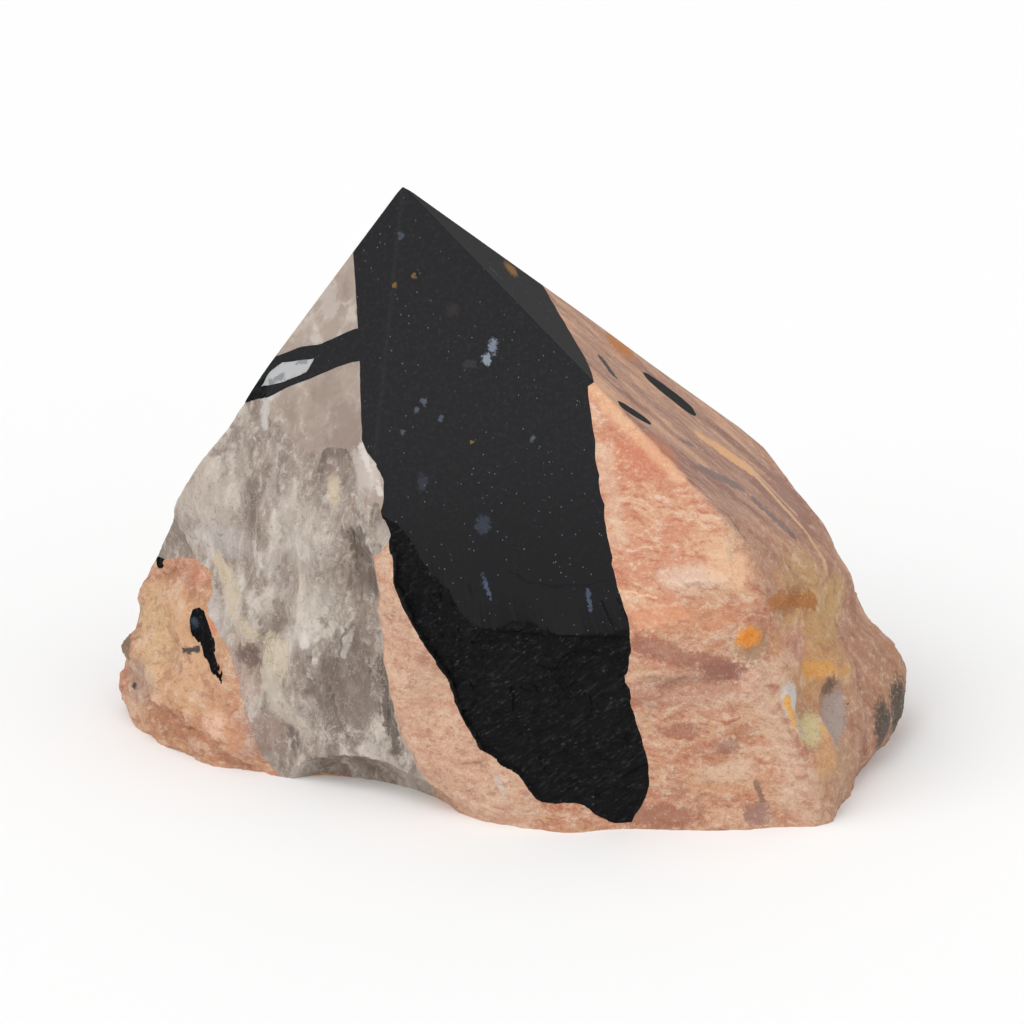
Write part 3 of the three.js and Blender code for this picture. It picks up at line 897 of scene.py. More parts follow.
def start_finish(name, constants):
    """A new material with its shader, on which the constants are set, the place on the stone in
    millimetres, and the marks of its ground faces and of the depth of its hollows, which the quartz and
    feldspar use for painted shade and painted highlights."""
    material = bpy.data.materials.new(name)
    material.use_nodes = True
    tree = material.node_tree
    shader = tree.nodes["Principled BSDF"]
    for socket, value in constants.items():
        shader.inputs[socket].default_value = value
    start = Shade(tree)
    place = start.make("ShaderNodeTexCoord", {}, {}, "Object")
    shift = tuple(float(value) for value in -stone_shift() / MM)
    place = place * (1 / MM, 1 / MM, 1 / MM) + shift
    ground = start.make("ShaderNodeAttribute", {"attribute_name": "ground"}, {}, "Fac")
    hollow = start.make("ShaderNodeAttribute", {"attribute_name": "hollow"}, {}, "Fac")
    return material, shader, place, ground, hollow


def connect(shader, base, roughness, height, distance):
    """Colour, roughness and a bump of a depth in millimetres on a shader."""
    bump = {"Strength": 1.0, "Distance": distance * MM, "Height": height}
    normal = base.make("ShaderNodeBump", {}, bump, "Normal")
    for made, socket in ((base, "Base Color"), (roughness, "Roughness"), (normal, "Normal")):
        base.tree.links.new(made.socket, shader.inputs[socket])


def plain(start, tone):
    """A colour as the start of a mix."""
    return start.make("ShaderNodeMix", {"data_type": "RGBA"}, {0: 0.0, 6: (*tone, 1.0), 7: (*tone, 1.0)}, 2)


# Marks on the minerals: a centre and half-sizes or a path and a half-width, a share, a colour
TOURMALINE_MARKS = [
    ((-2.2, -9.7, 52.4), (0.5, 0.9, 0.9), 0.8, (124, 132, 146)),
    ((-2.9, -10.5, 51), (0.45, 0.8, 0.6), 0.9, (132, 140, 150)),
    ((-10.1, -12.8, 46.7), (0.35, 0.6, 0.45), 0.6, (92, 100, 114)),
    ((-11, -13.3, 45.9), (0.3, 0.6, 0.35), 0.55, (92, 100, 114)),
    ((-8.2, -13.7, 45), (0.25, 0.5, 0.3), 0.5, (92, 100, 114)),
    ((-12.8, -3.4, 63.7), (0.3, 0.5, 0.35), 0.4, (92, 100, 114)),
    ((-12.5, -14.5, 43.6), (0.3, 0.5, 0.3), 0.5, (92, 100, 114)),
    ((2.4, -14.9, 43), (0.25, 0.5, 0.3), 0.5, (100, 108, 120)),
    ((-6.8, -7.6, 56.1), (0.8, 1.4, 0.6), 0.14, (88, 82, 66)),
    ((-4.8, -10.7, 50.5), (0.8, 1.2, 0.4), 0.16, (88, 90, 96)),
    ((-10.3, -17.4, 38.5), (0.6, 1, 1), 0.35, (66, 72, 86)),
    ((-3.3, -19.7, 34.3), (0.8, 1.1, 1), 0.4, (70, 78, 94)),
    (((-3.4, -22.4, 29), (-2.4, -23.6, 26.8)), 0.3, 0.6, (84, 96, 120)),
    (((8.6, -23.4, 27.7), (9, -24.3, 25.6)), 0.22, 0.55, (84, 96, 120)),
    ((-0.1, 2.4, 57.8), (1.2, 1.5, 0.8), 0.8, (148, 104, 50)),
    ((0.8, 1.4, 58.4), (0.4, 0.8, 0.3), 0.8, (184, 140, 76)),
    ((-13.5, -6.2, 58.6), (0.3, 0.5, 0.3), 0.7, (128, 96, 52)),
    ((-11.3, -5.7, 59.5), (0.25, 0.4, 0.25), 0.7, (128, 96, 52)),
    ((-4.5, -15, 42.7), (0.25, 0.4, 0.25), 0.7, (128, 108, 62)),
    (((-2.4, -3, 59.7), (-1.1, -3.8, 58.1)), 0.14, 0.5, (110, 112, 116)),
]
# Dark cracks on the big crystal, then painted shade over the needle
TOURMALINE_CRACKS_AND_SHADE = [
    (((-0.3, -22.3, 29.6), (1.4, -22.9, 28.6), (5, -23.2, 28), (8.1, -23.1, 28.1), (11.6, -22.8, 28.7)),
     0.13, 0.85, (7, 7, 8)),
    (((-4.8, -23, 28.3), (-2.9, -25.1, 22.4)), 0.16, 0.9, (4, 4, 5)),
    (((-4.2, -23.1, 28.3), (-2.3, -25.2, 22.4)), 0.09, 0.8, (4, 4, 5)),
    # Painted shade: the needle lies in a recess and is painted almost black
    ((-36.1, -4.6, 12.9), (7, 7, 8), 0.85, (5, 6, 9)),
    ((-37.6, -2.6, 15.6), (0.5, 0.8, 0.6), 0.8, (70, 82, 96)),
]
QUARTZ_MARKS = [
    ((-34.5, 1, 31), (4.4, 6, 4), 0.55, (202, 188, 174)),
    ((-24, -12.8, 30), (3.2, 4, 4.4), 0.5, (206, 194, 182)),
    ((-18.6, -12, 37.6), (1.4, 4, 3.4), 0.5, (150, 134, 122)),
    ((-22.8, -14.6, 21.5), (2.8, 4, 4.4), 0.5, (206, 196, 184)),
    ((-19, -11.5, 42.9), (2.2, 5, 2.9), 0.6, (132, 113, 103)),
    ((-23.4, -7.6, 39.3), (3.2, 4, 1.8), 0.4, (146, 130, 120)),
    ((-33.7, -2.5, 26.4), (4, 5, 1.8), 0.45, (188, 180, 178)),
    (((-28.4, -2.6, 43.6), (-28.3, -3.5, 40.8)), 0.9, 0.75, (212, 206, 200)),
    (((-28.3, -3.5, 40.8), (-27.8, -4.6, 36.8)), 0.45, 0.7, (214, 208, 202)),
    ((-21.1, -2, 55.4), (1.2, 3, 2.2), 0.35, (206, 197, 190)),
    ((-32.9, 1.3, 38.5), (0.7, 1.2, 0.4), 0.85, (226, 219, 212)),
    ((-37.2, 2.7, 27.1), (1.4, 2.2, 1.15), 0.85, (222, 209, 190)),
    (((-40.9, 6.4, 22.8), (-38.1, 3.2, 25.2), (-35.3, -0.1, 26.5)), 0.3, 0.6, (208, 190, 170)),
    ((-16.6, -15.8, 39.6), (1.7, 2.6, 3.2), 0.5, (204, 195, 186)),
    (((-17.5, -14.1, 41.9), (-14.9, -17.8, 37.3)), 0.4, 0.55, (220, 214, 208)),
    ((-20.5, -13.3, 35.9), (0.8, 2.5, 1.7), 0.75, (210, 190, 162)),
    (((-24.3, -12.1, 32.5), (-24.5, -13.4, 25.7), (-24.7, -14, 19)), 0.28, 0.65, (212, 194, 170)),
    (((-19.3, -10.8, 40.2), (-18.1, -16.2, 36), (-18.3, -17.5, 28.7)), 0.25, 0.6, (206, 186, 160)),
    ((-24.3, -13.1, 28.9), (1.5, 3, 1.2), 0.5, (222, 214, 206)),
    (((-17.9, -17.6, 32.2), (-17.1, -18.2, 29.4), (-15.8, -18.9, 26.6)), 1.15, 0.8, (98, 84, 74)),
    (((-35.3, -2.6, 20.4), (-33.7, -6.9, 15.1)), 1.1, 0.6, (196, 182, 176)),
    ((-31.9, -9.4, 12.6), (2.6, 4, 4.2), 0.6, (184, 150, 136)),
    (((-34.4, -2.7, 23.6), (-33.2, -4.7, 21.8)), 0.9, 0.9, (206, 187, 160)),
    (((-33.2, -4.7, 21.8), (-30.2, -10, 17.2)), 1.6, 0.8, (206, 190, 166)),
    ((-30.5, -10.1, 14.3), (2.5, 3.2, 2.3), 0.7, (188, 168, 154)),
    ((-30.5, -10.1, 14.4), (1.9, 3, 1.8), 0.8, (108, 84, 72)),
    ((-27.5, -12.4, 14.8), (1.7, 3, 2.9), 0.8, (208, 194, 170)),
    (((-28.6, -12, 12.4), (-27.2, -13, 9.2), (-24.6, -14.6, 6.4)), 1.4, 0.6, (208, 196, 180)),
    ((-19.4, -16.8, 13), (4.8, 5, 6.8), 0.6, (122, 106, 94)),
    (((-18.3, -17.7, 21.7), (-20.2, -16.7, 17.1), (-21.2, -16.3, 12.4), (-20.2, -16.8, 9),
      (-18.5, -17.8, 6.8)), 0.4, 0.6, (102, 88, 77)),
    (((-18, -17.9, 21.4), (-19.6, -17, 17.1)), 0.4, 0.7, (214, 206, 198)),
    # Painted shadow along the step where the feldspar strip stands out beside the quartz
    (((-14.6, -19.8, 17.5), (-13.6, -20.4, 7)), 1.1, 0.85, (92, 78, 68)),
    ((-25.8, -14, 5), (0.9, 2.2, 1.7), 0.75, (102, 88, 78)),
    ((-28.6, -12.2, 5.4), (2.2, 3, 2.2), 0.55, (170, 142, 130)),
    (((-17, -18.5, 6), (-10.5, -21.8, 3.2)), 0.9, 0.5, (192, 182, 172)),
    ((-23.9, -14.6, 18.5), (0.9, 2, 0.9), 0.8, (222, 215, 208)),
    (((-29.2, -1.8, 44.7), (-26.4, -2.9, 47), (-22.9, -4.3, 49.1)), 1.3, 0.8, (176, 180, 184)),
    (((-27.9, -2.3, 45.6), (-26.6, -2.9, 46.4)), 0.5, 0.7, (96, 104, 110)),
    (((-25.2, -3.4, 48.2), (-24, -3.9, 48.7)), 0.3, 0.7, (110, 116, 122)),
]
FELDSPAR_CLOUDS = [
    ((15.5, -15.6, 41.3), (4.2, 3.8, 2.2), 0.8, (192, 110, 76)),
    (((10.4, -15.5, 42), (12.3, -20.6, 32.7)), 0.9, 0.4, (214, 184, 158)),
    ((20.8, -22.8, 28.8), (3.8, 3, 1.4), 0.55, (220, 198, 178)),
    ((25, -21.2, 30), (3, 3.5, 3.4), 0.5, (220, 178, 142)),
    (((8.9, -12, 48.1), (14, -14.4, 43.8), (19, -17, 39.2)), 0.9, 0.65, (222, 172, 132)),
    ((19.1, -25.2, 24.6), (6.5, 3, 1.7), 0.6, (208, 142, 102)),
    ((20, -26.2, 16.6), (7, 3, 2.6), 0.4, (188, 152, 134)),
    ((24, -27, 6), (5, 3, 1.7), 0.55, (220, 178, 138)),
    ((33, 3, 28.5), (5.5, 8, 5.5), 0.7, (146, 98, 82)),
    ((34, -14, 24.5), (5.5, 7, 4), 0.8, (196, 154, 102)),
    ((35, -15.5, 17), (6, 9, 7), 0.75, (200, 150, 92)),
    ((38.4, -6, 19.8), (2.8, 5, 2.6), 0.75, (206, 166, 98)),
    ((33, -19.5, 21), (4.6, 5, 4), 0.6, (206, 154, 96)),
    ((37, -13.5, 21.5), (3.6, 6, 4.5), 0.65, (194, 154, 98)),
    ((36, -20.5, 6.5), (3.6, 5, 4), 0.5, (206, 156, 110)),
    ((32.3, -20.1, 19.6), (2.6, 4, 2.3), 0.75, (200, 142, 122)),
    ((45, -2, 9), (4, 8, 6), 0.7, (180, 132, 98)),
    ((38, -21.5, 4), (5, 6, 3.5), 0.6, (186, 150, 116)),
    ((-39, -1.5, 11), (9, 10, 12), 0.75, (208, 160, 118)),
    ((-37.8, 0.3, 20.8), (3.4, 4, 2.6), 0.7, (194, 134, 106)),
    ((-42.3, 2.5, 12.2), (3.2, 7, 5), 0.8, (212, 174, 130)),
    ((-37.2, -4.6, 9.4), (2.6, 4, 3), 0.6, (212, 170, 132)),
    ((-33.9, -5.6, 17.6), (1.5, 3, 2.8), 0.7, (186, 166, 152)),
    ((-44.3, 3, 6), (2.1, 4.5, 2.8), 0.75, (168, 144, 128)),
    ((-39.5, -4.5, 3.4), (6, 5, 2), 0.8, (174, 114, 78)),
    ((-30.8, -11.2, 5), (2, 3, 3), 0.6, (176, 146, 134)),
]
FELDSPAR_MARKS = [
    (((12.2, -23.4, 27.6), (16.4, -23.8, 26.9)), 0.14, 0.8, (230, 186, 146)),
    ((25.8, -22, 29.4), (0.8, 2.2, 1.7), 0.9, (230, 184, 146)),
    (((14.6, -25.9, 22), (20, -25.8, 20.2), (25.2, -25.7, 18.8)), 1.15, 0.7, (154, 96, 78)),
    ((24, -26, 18.6), (2.4, 2, 1.3), 0.55, (128, 82, 70)),
    ((19.6, -26.9, 11.6), (2.6, 2, 0.9), 0.65, (156, 94, 74)),
    ((24.6, -26.8, 9.8), (1.5, 2, 1), 0.6, (146, 106, 92)),
    ((16.8, -28, 1.7), (4.6, 3, 1.5), 0.8, (164, 108, 84)),
    ((28.2, -27.6, 1.7), (1.7, 3, 1.4), 0.75, (150, 116, 108)),
    (((28, -27.2, 5.4), (28.7, -27.4, 3.4)), 0.3, 0.7, (112, 84, 72)),
    (((22, 0.8, 37.8), (25, 2.4, 35.2)), 0.9, 0.95, (226, 174, 126)),
    (((24.4, 2.1, 35.7), (28.1, 3.9, 32.5)), 1.4, 1, (230, 174, 122)),
    (((28.7, 3.6, 31.9), (34.3, -0.8, 26.2), (37.1, -5.6, 23.4)), 0.6, 0.95, (222, 174, 130)),
    (((27.4, 5.4, 32.8), (33.5, 2.2, 27.6)), 0.35, 0.8, (214, 176, 148)),
    (((22.2, -9.6, 37.3), (26.6, -5, 33.5)), 0.9, 0.85, (116, 98, 94)),
    (((28.2, -5.4, 31.8), (32.4, -5.9, 28.2)), 1.1, 0.85, (116, 90, 88)),
    (((19.5, -6.4, 39.8), (20.9, -4.7, 38.6)), 0.4, 0.8, (116, 98, 96)),
    ((12.7, 9.2, 46.5), (2.4, 3.8, 2.2), 0.95, (188, 112, 40)),
    (((16.3, 5.6, 43.4), (22.4, 7, 37.8)), 1.2, 0.5, (146, 104, 72)),
    (((10.4, -1.7, 48.2), (11.7, -3.7, 46.9)), 0.6, 1, (34, 36, 38)),
    (((24.7, -17.7, 34.7), (25.8, -19.1, 33.6), (27.4, -20.4, 32)), 0.16, 0.8, (74, 56, 44)),
    (((31.5, -14, 27.2), (32.4, -13.2, 26.4)), 0.2, 0.7, (60, 60, 60)),
    (((29.6, -21.6, 25.2), (32, -17.1, 24.2), (34.6, -13, 22.4)), 1.1, 0.95, (176, 110, 44)),
    ((27.2, -24.8, 21.6), (2, 2.6, 2.2), 0.75, (156, 126, 96)),
    ((27, -25, 22.4), (1.5, 2.4, 1.25), 1, (240, 150, 44)),
    (((34, -19.5, 16.4), (38.5, -13, 13.8)), 1, 0.85, (222, 158, 76)),
    (((32, -24.9, 15.2), (33.4, -24.4, 11)), 1.5, 0.95, (208, 202, 196)),
    (((31.4, -25.3, 15), (33, -25.2, 9.5)), 0.5, 0.95, (228, 168, 76)),
    ((34.6, -23.2, 10.8), (1.5, 2.6, 2.3), 0.9, (214, 198, 150)),
    (((35.6, -21.5, 11.4), (36.2, -21.5, 8.6)), 0.4, 0.85, (222, 174, 98)),
    ((37.4, -17.5, 9.9), (1.6, 4, 3.4), 0.85, (178, 165, 158)),
    ((36.9, -17.6, 12.9), (1.1, 2.4, 1.5), 0.9, (110, 84, 66)),
    ((35.7, -23.2, 6.8), (1.9, 3, 1.7), 0.7, (212, 158, 104)),
    (((39.9, -10.3, 11.9), (40.2, -10.6, 11.2), (40.9, -9.3, 10.5), (40.2, -11.1, 10.2)), 0.28, 0.9,
     (44, 46, 50)),
    (((38.5, -14, 11.2), (39.4, -13.8, 9.3), (39.5, -15.3, 7.4)), 0.24, 0.85, (52, 54, 58)),
    ((43.7, -8, 4.4), (1.4, 3.4, 3.2), 0.95, (70, 62, 50)),
    ((46, -1.8, 4.6), (1.9, 4, 3.2), 0.95, (66, 60, 48)),
    ((-36.8, -0.4, 20.8), (1.1, 2, 1.4), 0.5, (196, 116, 90)),
    ((-35.2, -4.6, 16), (0.9, 1.8, 1.1), 0.85, (212, 130, 92)),
    (((-43.1, 0.7, 4.8), (-40.5, -2.8, 4.6), (-38.6, -4.9, 5.6), (-36.6, -6.8, 6.2)), 0.42, 0.7,
     (164, 102, 76)),
    ((-34.8, -8.6, 5.2), (1.6, 2.8, 1.4), 0.8, (230, 186, 158)),
    ((-32.4, -10.1, 4.4), (1.4, 2.4, 2.2), 0.6, (208, 144, 102)),
    ((-45.1, 4.3, 4.9), (0.35, 0.8, 0.4), 0.95, (44, 44, 48)),
    ((-46.4, 7.1, 9), (1.1, 3, 1.6), 0.8, (108, 88, 72)),
    (((-38.6, -2.2, 11.9), (-36.9, -4.1, 12.9)), 0.42, 0.95, (30, 32, 36)),
    (((-35.6, -3.6, 17.2), (-35.4, -3.9, 16.8)), 0.2, 0.8, (52, 44, 42)),
    (((-11.3, -21.5, 23.4), (-9.4, -22.3, 25.4)), 0.5, 0.6, (226, 184, 158)),
    (((-1.4, -26.4, 5.6), (-0.2, -27, 3.2)), 0.6, 0.75, (206, 196, 188)),
]


def tourmaline_finish(looks, name, gloss):
    """Black, evenly dark grey with white specks, pits and a crack where it is ground, darker and
    sparkling where it is broken, the sparkle partly painted as lighter grey fibres and facets, and the
    needle painted almost black as painted shade in its recess."""
    constants = {"IOR": TOURMALINE_IOR, "Specular IOR Level": gloss, "Coat Roughness": 0.2}
    material, shader, place, ground, _ = start_finish(name, constants)
    rough = 1 - ground
    ragged = place.ragged(0.8, 0.5)
    grain = (place * 2.2).noise(4, 0.6)
    clean = plain(place, tuple(looks.tourmaline)).mixed(colour(36, 36, 39), grain.step(0.45, 0.7))
    spread = (place * 0.35).noise(2).step(0.42, 0.6)
    dots = (place * 1.1).cells().step(0.1, 0.05) * spread
    strokes = (place * (1.2, 1.2, 0.42) + 7).cells().step(0.09, 0.04)
    clean = clean.mixed(colour(16, 16, 18), place.along((0, 0, 1)).step(46, 26) * 0.8)
    clean = clean.mixed(colour(112, 116, 124), dots.most(strokes * 0.7))
    shake = ((place * 3.2).noise(4, 0.7) - 0.5) * 2.6
    clean = clean.painted(ragged, TOURMALINE_MARKS, shake)
    facets = place.make("ShaderNodeSeparateColor", {}, [(place * 4.5).cells(output="Color")])
    run, rise = FIBRES
    fibres = (place.turned((run, 0, rise), (0, 1, 0), (-rise, 0, run)) * (0.7, 1.6, 3.0)).noise(6, 0.72)
    # Painted highlights: lighter grey streaks along the fibres and on single facets stand in for sparkle
    dark = plain(place, colour(4, 4, 6)).mixed(colour(46, 46, 50), fibres.step(0.5, 0.7) * 0.7)
    dark = dark.mixed(colour(64, 64, 70), facets.step(0.9, 1.0) * fibres.step(0.48, 0.6) * 0.5)
    tone = dark.mixed(clean, ground).painted(place.ragged(1.5, 0.6), TOURMALINE_CRACKS_AND_SHADE, shake, 0.6)
    roughness = ground * 0.5 + rough * (facets * 0.3 + 0.4)
    height = fibres * rough + grain * 0.06
    connect(shader, tone, roughness, height, 0.3)
    sparkle = facets.step(0.92, 0.97) * fibres.step(0.45, 0.6) * rough * 0.6
    sparkle.tree.links.new(sparkle.socket, shader.inputs["Coat Weight"])
    return material


def quartz_finish(looks):
    """Cloudy grey-brown: soft clouds where it is ground, upright brown and white blotches where it is
    broken, with painted shade in its hollows, painted highlights on its raised parts and painted glints
    for its sparkle, and single blades, veils, clear dark windows and a painted shadow along the
    feldspar strip's step."""
    material, shader, place, ground, hollow = start_finish("quartz", {
        "IOR": QUARTZ_IOR, "Subsurface Weight": 0.3, "Subsurface Radius": (1.0, 0.85, 0.75),
        "Subsurface Scale": 0.9 * MM,
    })
    rough = 1 - ground
    bent = place.ragged(4.5, 2.0)
    clouds = (bent * 0.2).noise(5, 0.6)
    wisps = (bent * (0.5, 0.5, 0.3)).noise(6, 0.66)
    tone = plain(place, tuple(looks.quartz)).layered([
        (clouds, 0.52, 0.34, 0.7, (140, 123, 111)), (clouds, 0.52, 0.68, 0.7, (196, 185, 175)),
        (wisps, 0.53, 0.72, 0.55, (204, 194, 184)), (wisps, 0.46, 0.3, 0.5, (132, 115, 104)),
    ])
    upright = place.ragged(3.0, 1.6)
    streak = (upright * (0.3, 0.3, 0.14)).noise(4, 0.56)
    fine = (upright * (0.9, 0.9, 0.55)).noise(5, 0.62)
    tone = tone.layered([
        (streak, 0.48, 0.64, 0.75, (212, 201, 189)), (streak, 0.5, 0.33, 0.7, (120, 104, 92)),
        (fine, 0.5, 0.68, 0.55, (218, 208, 197)), (fine, 0.48, 0.32, 0.5, (116, 100, 88)),
        # Painted highlight where the break stands out, painted shade in its hollows
        (hollow, -0.1, -0.4, 0.35, (224, 216, 206)), (hollow, 0.05, 0.4, 0.4, (112, 95, 82)),
    ], rough)
    shake = (fine - 0.5) * 2.6
    tone = tone.painted(place.ragged(1.1, 0.5), QUARTZ_MARKS, shake)
    crest = abs((upright * (0.5, 0.5, 0.2)).noise(4, 0.6) - 0.5).step(0.014, 0.002)
    tone = tone.mixed(colour(226, 217, 206), crest * rough * 0.28)
    split = abs((upright * (0.4, 0.4, 0.16) + 9).noise(4, 0.6) - 0.5).step(0.01, 0.001)
    tone = tone.mixed(colour(92, 78, 68), split * rough * 0.4)
    # Painted glints: pale specks in the broken face's colour stand in for its sparkle
    glints = (place * 2.8).cells().step(0.14, 0.07)
    tone = tone.mixed(colour(240, 236, 230), glints * rough * 0.6)
    roughness = ground * 0.42 + rough * (fine * 0.5 + 0.22)
    height = (place * (2.4, 2.4, 1.2)).noise(6, 0.7) * rough + wisps * 0.02
    connect(shader, tone, roughness, height, 0.3)
    return material


def feldspar_finish(looks):
    """Salmon with cream, white and red-brown blotches drawn out level at the front and down the slope at
    the right, painted shade in the hollows of the break and painted highlights on its raised parts, then
    the single lenses, veins, mauve bands, ochre hollows and dark specks."""
    material, shader, place, ground, hollow = start_finish("feldspar", {"IOR": FELDSPAR_IOR})
    rough = 1 - ground
    bent = place.ragged(3.5, 1.1)
    side = place.along((0.454, 0.891, 0)).step(-6.7, -5.7)
    level = bent.turned((0.93, 0.3, -0.2), (0.15, 0, 1), (0, 1, 0))
    slope = bent.turned((0.76, 0.1, -0.64), (0, 1, 0.1), (0.64, 0, 0.77))
    coarse = (level * (0.16, 0.4, 0.3)).noise(5, 0.6)
    blotch = (level * (0.6, 1.5, 1.1)).noise(6, 0.7)
    streak = (slope * (0.05, 0.34, 0.24)).noise(6, 0.66)
    thread = (slope * (0.3, 1.7, 1.1)).noise(6, 0.72)
    sugar = (place * 1.5).noise(6, 0.78)
    mottle = (bent * (0.5, 0.5, 0.75)).noise(6, 0.72)
    front = plain(place, tuple(looks.feldspar)).mixed(tuple(looks.cream), coarse.step(0.42, 0.6))
    front = front.mixed(colour(214, 184, 160), blotch.step(0.52, 0.64) * 0.85)
    front = front.mixed(tuple(looks.rust), blotch.step(0.48, 0.37) * 0.9)
    back = plain(place, tuple(looks.mauve)).layered([
        (streak, 0.5, 0.6, 1.0, (210, 160, 126)), (streak, 0.48, 0.38, 1.0, (146, 98, 82)),
        (thread, 0.54, 0.66, 0.6, (220, 188, 162)), (thread, 0.46, 0.36, 0.7, (132, 96, 86)),
    ])
    tone = front.mixed(back, side * (1 - rough * 0.4))
    tone = tone.painted(place.ragged(2.2, 0.9), FELDSPAR_CLOUDS, (sugar - 0.5) * 2.4, 0.4)
    tone = tone.layered([
        # Painted shade in the hollows of the break, painted highlight where it stands out
        (hollow, 0.05, 0.35, 0.4, (146, 96, 72)), (hollow, -0.05, -0.35, 0.35, (224, 196, 172)),
        (mottle, 0.53, 0.64, 0.55, (224, 194, 168)), (mottle, 0.47, 0.37, 0.55, (162, 106, 84)),
    ], rough)
    tone = tone.painted(place.ragged(0.9, 0.4), FELDSPAR_MARKS, (sugar - 0.5) * 2.6)
    split = abs((bent * (0.22, 0.22, 0.4)).noise(6, 0.66) - 0.5).step(0.008, 0.001)
    tone = tone.mixed(colour(116, 70, 50), split * (rough * 0.28 + 0.12))
    grain = (place * 4.2).noise(4, 0.75)
    tone = tone.layered([
        (sugar, 0.55, 0.68, 0.4, (234, 208, 184)), (sugar, 0.46, 0.33, 0.45, (150, 94, 66)),
        (grain, 0.56, 0.7, 0.35, (242, 222, 200)), (grain, 0.44, 0.3, 0.4, (124, 78, 54)),
    ])
    roughness = ground * 0.45 + rough * (0.5 + grain * 0.25)
    height = (place * 2.2).noise(7, 0.74) * rough + grain * 0.04
    connect(shader, tone, roughness, height, 0.22)
    return material


def length_property(name, description, default, least=0.0):
    """A length for the sidebar, from a default and a least value in millimetres."""
    return bpy.props.FloatProperty(
        name=name, description=description, default=default * MM, min=least * MM, unit="LENGTH", precision=5)


def colour_property(name, description, default):
    """A colour for the sidebar."""
    return bpy.props.FloatVectorProperty(
        name=name, description=description, default=default, min=0, max=1, subtype="COLOR")


class SpecimenSizes(bpy.types.PropertyGroup):
    """Sizes of the wear and of the break."""

    ridge_wear: length_property("Ridge wear", "How far the ground point's ridges are rounded", 0.09, 0.01)
    low_wear: length_property("Wear low down", "How much more the ridges are rounded in the feldspar", 0.5)
    tip_wear: length_property("Tip wear", "How far below the tip its rounding begins", 1.2, 0.5)
    tourmaline_relief: length_property("Tourmaline relief", "Height of the tourmaline's break", 0.26)
    quartz_relief: length_property("Quartz relief", "Height of the quartz's break", 0.45)
    feldspar_relief: length_property("Feldspar relief", "Height of the feldspar's break", 0.32)
    strip_height: length_property(
        "Strip height", "How far the feldspar strip left of the crystal stands out", 0.75)


class SpecimenLooks(bpy.types.PropertyGroup):
    """Colours of the minerals."""

    tourmaline: colour_property("Tourmaline", "The crystal where it is ground", colour(27, 27, 29))
    quartz: colour_property("Quartz", "The quartz between clouds and clear windows", colour(160, 143, 131))
    feldspar: colour_property("Feldspar", "The feldspar's main colour", colour(194, 132, 100))
    cream: colour_property("Cream", "The paler layers of the feldspar", colour(205, 158, 124))
    rust: colour_property("Rust", "The feldspar's red-brown mottles", colour(176, 104, 76))
    mauve: colour_property("Mauve", "The feldspar on the facets right of the crystal", colour(178, 134, 112))


class SpecimenLight(bpy.types.PropertyGroup):
    """The studio."""

    surround: bpy.props.FloatProperty(
        name="Surround", description="Brightness of the white surroundings", default=0.62, min=0)
    key: bpy.props.FloatProperty(
        name="Key", description="Strength of the soft light from the upper left", default=1.6, min=0)
    fill: bpy.props.FloatProperty(
        name="Fill", description="Strength of the softer light from the right", default=0.7, min=0)
    floor: colour_property("Floor", "Colour of the floor", (0.9, 0.9, 0.9))


class SPECIMEN_OT_crystal(bpy.types.Operator):
    """Build the big black crystal with its side branch"""

    bl_idname = "specimen.crystal"
    bl_label = "Black crystal"

    def execute(self, context):
        for made in (azimuths, stone_surface, minerals):
            made.cache_clear()
        finish = tourmaline_finish(context.scene.specimen_looks, "tourmaline", BIG_GLOSS)
        finished("black_crystal", "tourmaline_crystal", finish)
        return {"FINISHED"}


class SPECIMEN_OT_quartz(bpy.types.Operator):
    """Build the smoky quartz and the pocket in the branch's fork"""

    bl_idname = "specimen.quartz"
    bl_label = "Smoky quartz"

    def execute(self, context):
        finished("cloudy_quartz", "smoky_quartz", quartz_finish(context.scene.specimen_looks))
        return {"FINISHED"}


class SPECIMEN_OT_feldspar(bpy.types.Operator):
    """Build the feldspar"""

    bl_idname = "specimen.feldspar"
    bl_label = "Feldspar"

    def execute(self, context):
        finished("pink_feldspar", "feldspar", feldspar_finish(context.scene.specimen_looks))
        return {"FINISHED"}


class SPECIMEN_OT_small_crystals(bpy.types.Operator):
    """Build the small tourmalines set in the feldspar"""

    bl_idname = "specimen.small_crystals"
    bl_label = "Small crystals"

    def execute(self, context):
        material = tourmaline_finish(context.scene.specimen_looks, "small_tourmaline", SMALL_GLOSS)
        for node, piece, *_ in SMALL_TOURMALINES:
            finished(piece, node, material)
        return {"FINISHED"}


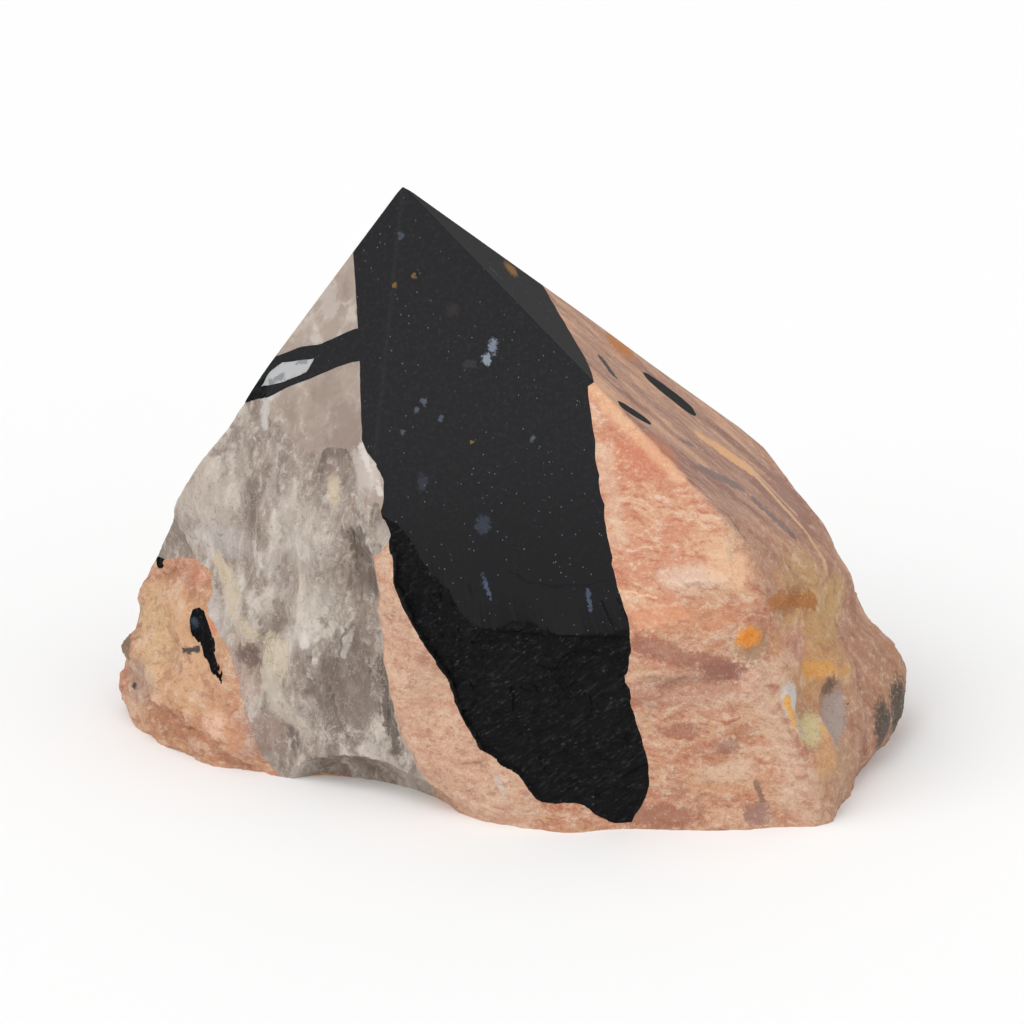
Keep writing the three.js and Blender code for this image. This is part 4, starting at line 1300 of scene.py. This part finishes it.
class SPECIMEN_OT_stage(bpy.types.Operator):
    """Build the floor, the light and the camera"""

    bl_idname = "specimen.stage"
    bl_label = "Stage"

    def execute(self, context):
        light = context.scene.specimen_light
        world = bpy.data.worlds.new("surroundings")
        world.use_nodes = True
        sky = Shade(world.node_tree)
        way = sky.make("ShaderNodeTexCoord", {}, {}, "Generated")
        up = sky.make("ShaderNodeSeparateXYZ", {}, [way], "Z")
        strength = (up.step(0.0, SKY_HEIGHT) * (SKY_ABOVE - SKY_LEVEL) + SKY_LEVEL) * light.surround
        background = world.node_tree.nodes["Background"]
        background.inputs["Color"].default_value = (1, 1, 1, 1)
        world.node_tree.links.new(strength.socket, background.inputs["Strength"])
        context.scene.world = world
        context.scene.view_settings.view_transform = "Standard"

        turn = np.linspace(0, 2 * np.pi, FLOOR_CORNERS + 1)[:-1]
        rim = np.stack([np.cos(turn), np.sin(turn), np.zeros(FLOOR_CORNERS)], 1) * FLOOR_RADIUS
        mesh = bpy.data.meshes.new("floor")
        mesh.from_pydata(rim, [], [list(range(FLOOR_CORNERS))])
        pale = bpy.data.materials.new("floor")
        pale.use_nodes = True
        shader = pale.node_tree.nodes["Principled BSDF"]
        shader.inputs["Base Color"].default_value = (*light.floor, 1)
        shader.inputs["Roughness"].default_value = 0.9
        mesh.materials.append(pale)
        floor = bpy.data.objects.new("floor", mesh)
        context.collection.objects.link(floor)

        for name, (place, width) in SUNS.items():
            lamp = bpy.data.lights.new(name, "SUN")
            lamp.angle = math.radians(width)
            lamp.energy = getattr(light, name)
            holder = bpy.data.objects.new(name, lamp)
            holder.location = place
            tilt = math.atan2(math.hypot(place[0], place[1]), place[2])
            holder.rotation_euler = (tilt, 0, math.atan2(place[0], -place[1]))
            context.collection.objects.link(holder)

        eye = bpy.data.cameras.new("camera")
        eye.sensor_width = SENSOR
        eye.lens = SENSOR * CAMERA_DISTANCE / VIEW_WIDTH
        camera = bpy.data.objects.new("camera", eye)
        back = direction(0, CAMERA_PITCH) * CAMERA_DISTANCE
        camera.location = (np.array(LOOKED_AT) + back) * MM + stone_shift()
        camera.rotation_euler = (math.radians(90 - CAMERA_PITCH), 0, 0)
        context.collection.objects.link(camera)
        context.scene.camera = camera
        return {"FINISHED"}


STEPS = [
    SPECIMEN_OT_crystal, SPECIMEN_OT_quartz, SPECIMEN_OT_feldspar, SPECIMEN_OT_small_crystals,
    SPECIMEN_OT_stage,
]


class SPECIMEN_PT_panel(bpy.types.Panel):
    """The specimen's steps in the sidebar"""

    bl_label = "Tourmaline specimen"
    bl_idname = "SPECIMEN_PT_panel"
    bl_space_type = "VIEW_3D"
    bl_region_type = "UI"
    bl_category = "Specimen"

    def draw(self, context):
        scene = context.scene
        for group in (scene.specimen_sizes, scene.specimen_looks, scene.specimen_light):
            for name in group.__annotations__:
                self.layout.prop(group, name)
        for step in STEPS:
            self.layout.operator(step.bl_idname)


CLASSES = [SpecimenSizes, SpecimenLooks, SpecimenLight, *STEPS, SPECIMEN_PT_panel]


def register():
    for made in CLASSES:
        bpy.utils.register_class(made)
    bpy.types.Scene.specimen_sizes = bpy.props.PointerProperty(type=SpecimenSizes)
    bpy.types.Scene.specimen_looks = bpy.props.PointerProperty(type=SpecimenLooks)
    bpy.types.Scene.specimen_light = bpy.props.PointerProperty(type=SpecimenLight)


def unregister():
    del bpy.types.Scene.specimen_light
    del bpy.types.Scene.specimen_looks
    del bpy.types.Scene.specimen_sizes
    for made in reversed(CLASSES):
        bpy.utils.unregister_class(made)


def main():
    """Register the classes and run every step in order."""
    register()
    for step in STEPS:
        group, name = step.bl_idname.split(".")
        getattr(getattr(bpy.ops, group), name)()


if __name__ == "__main__":
    main()
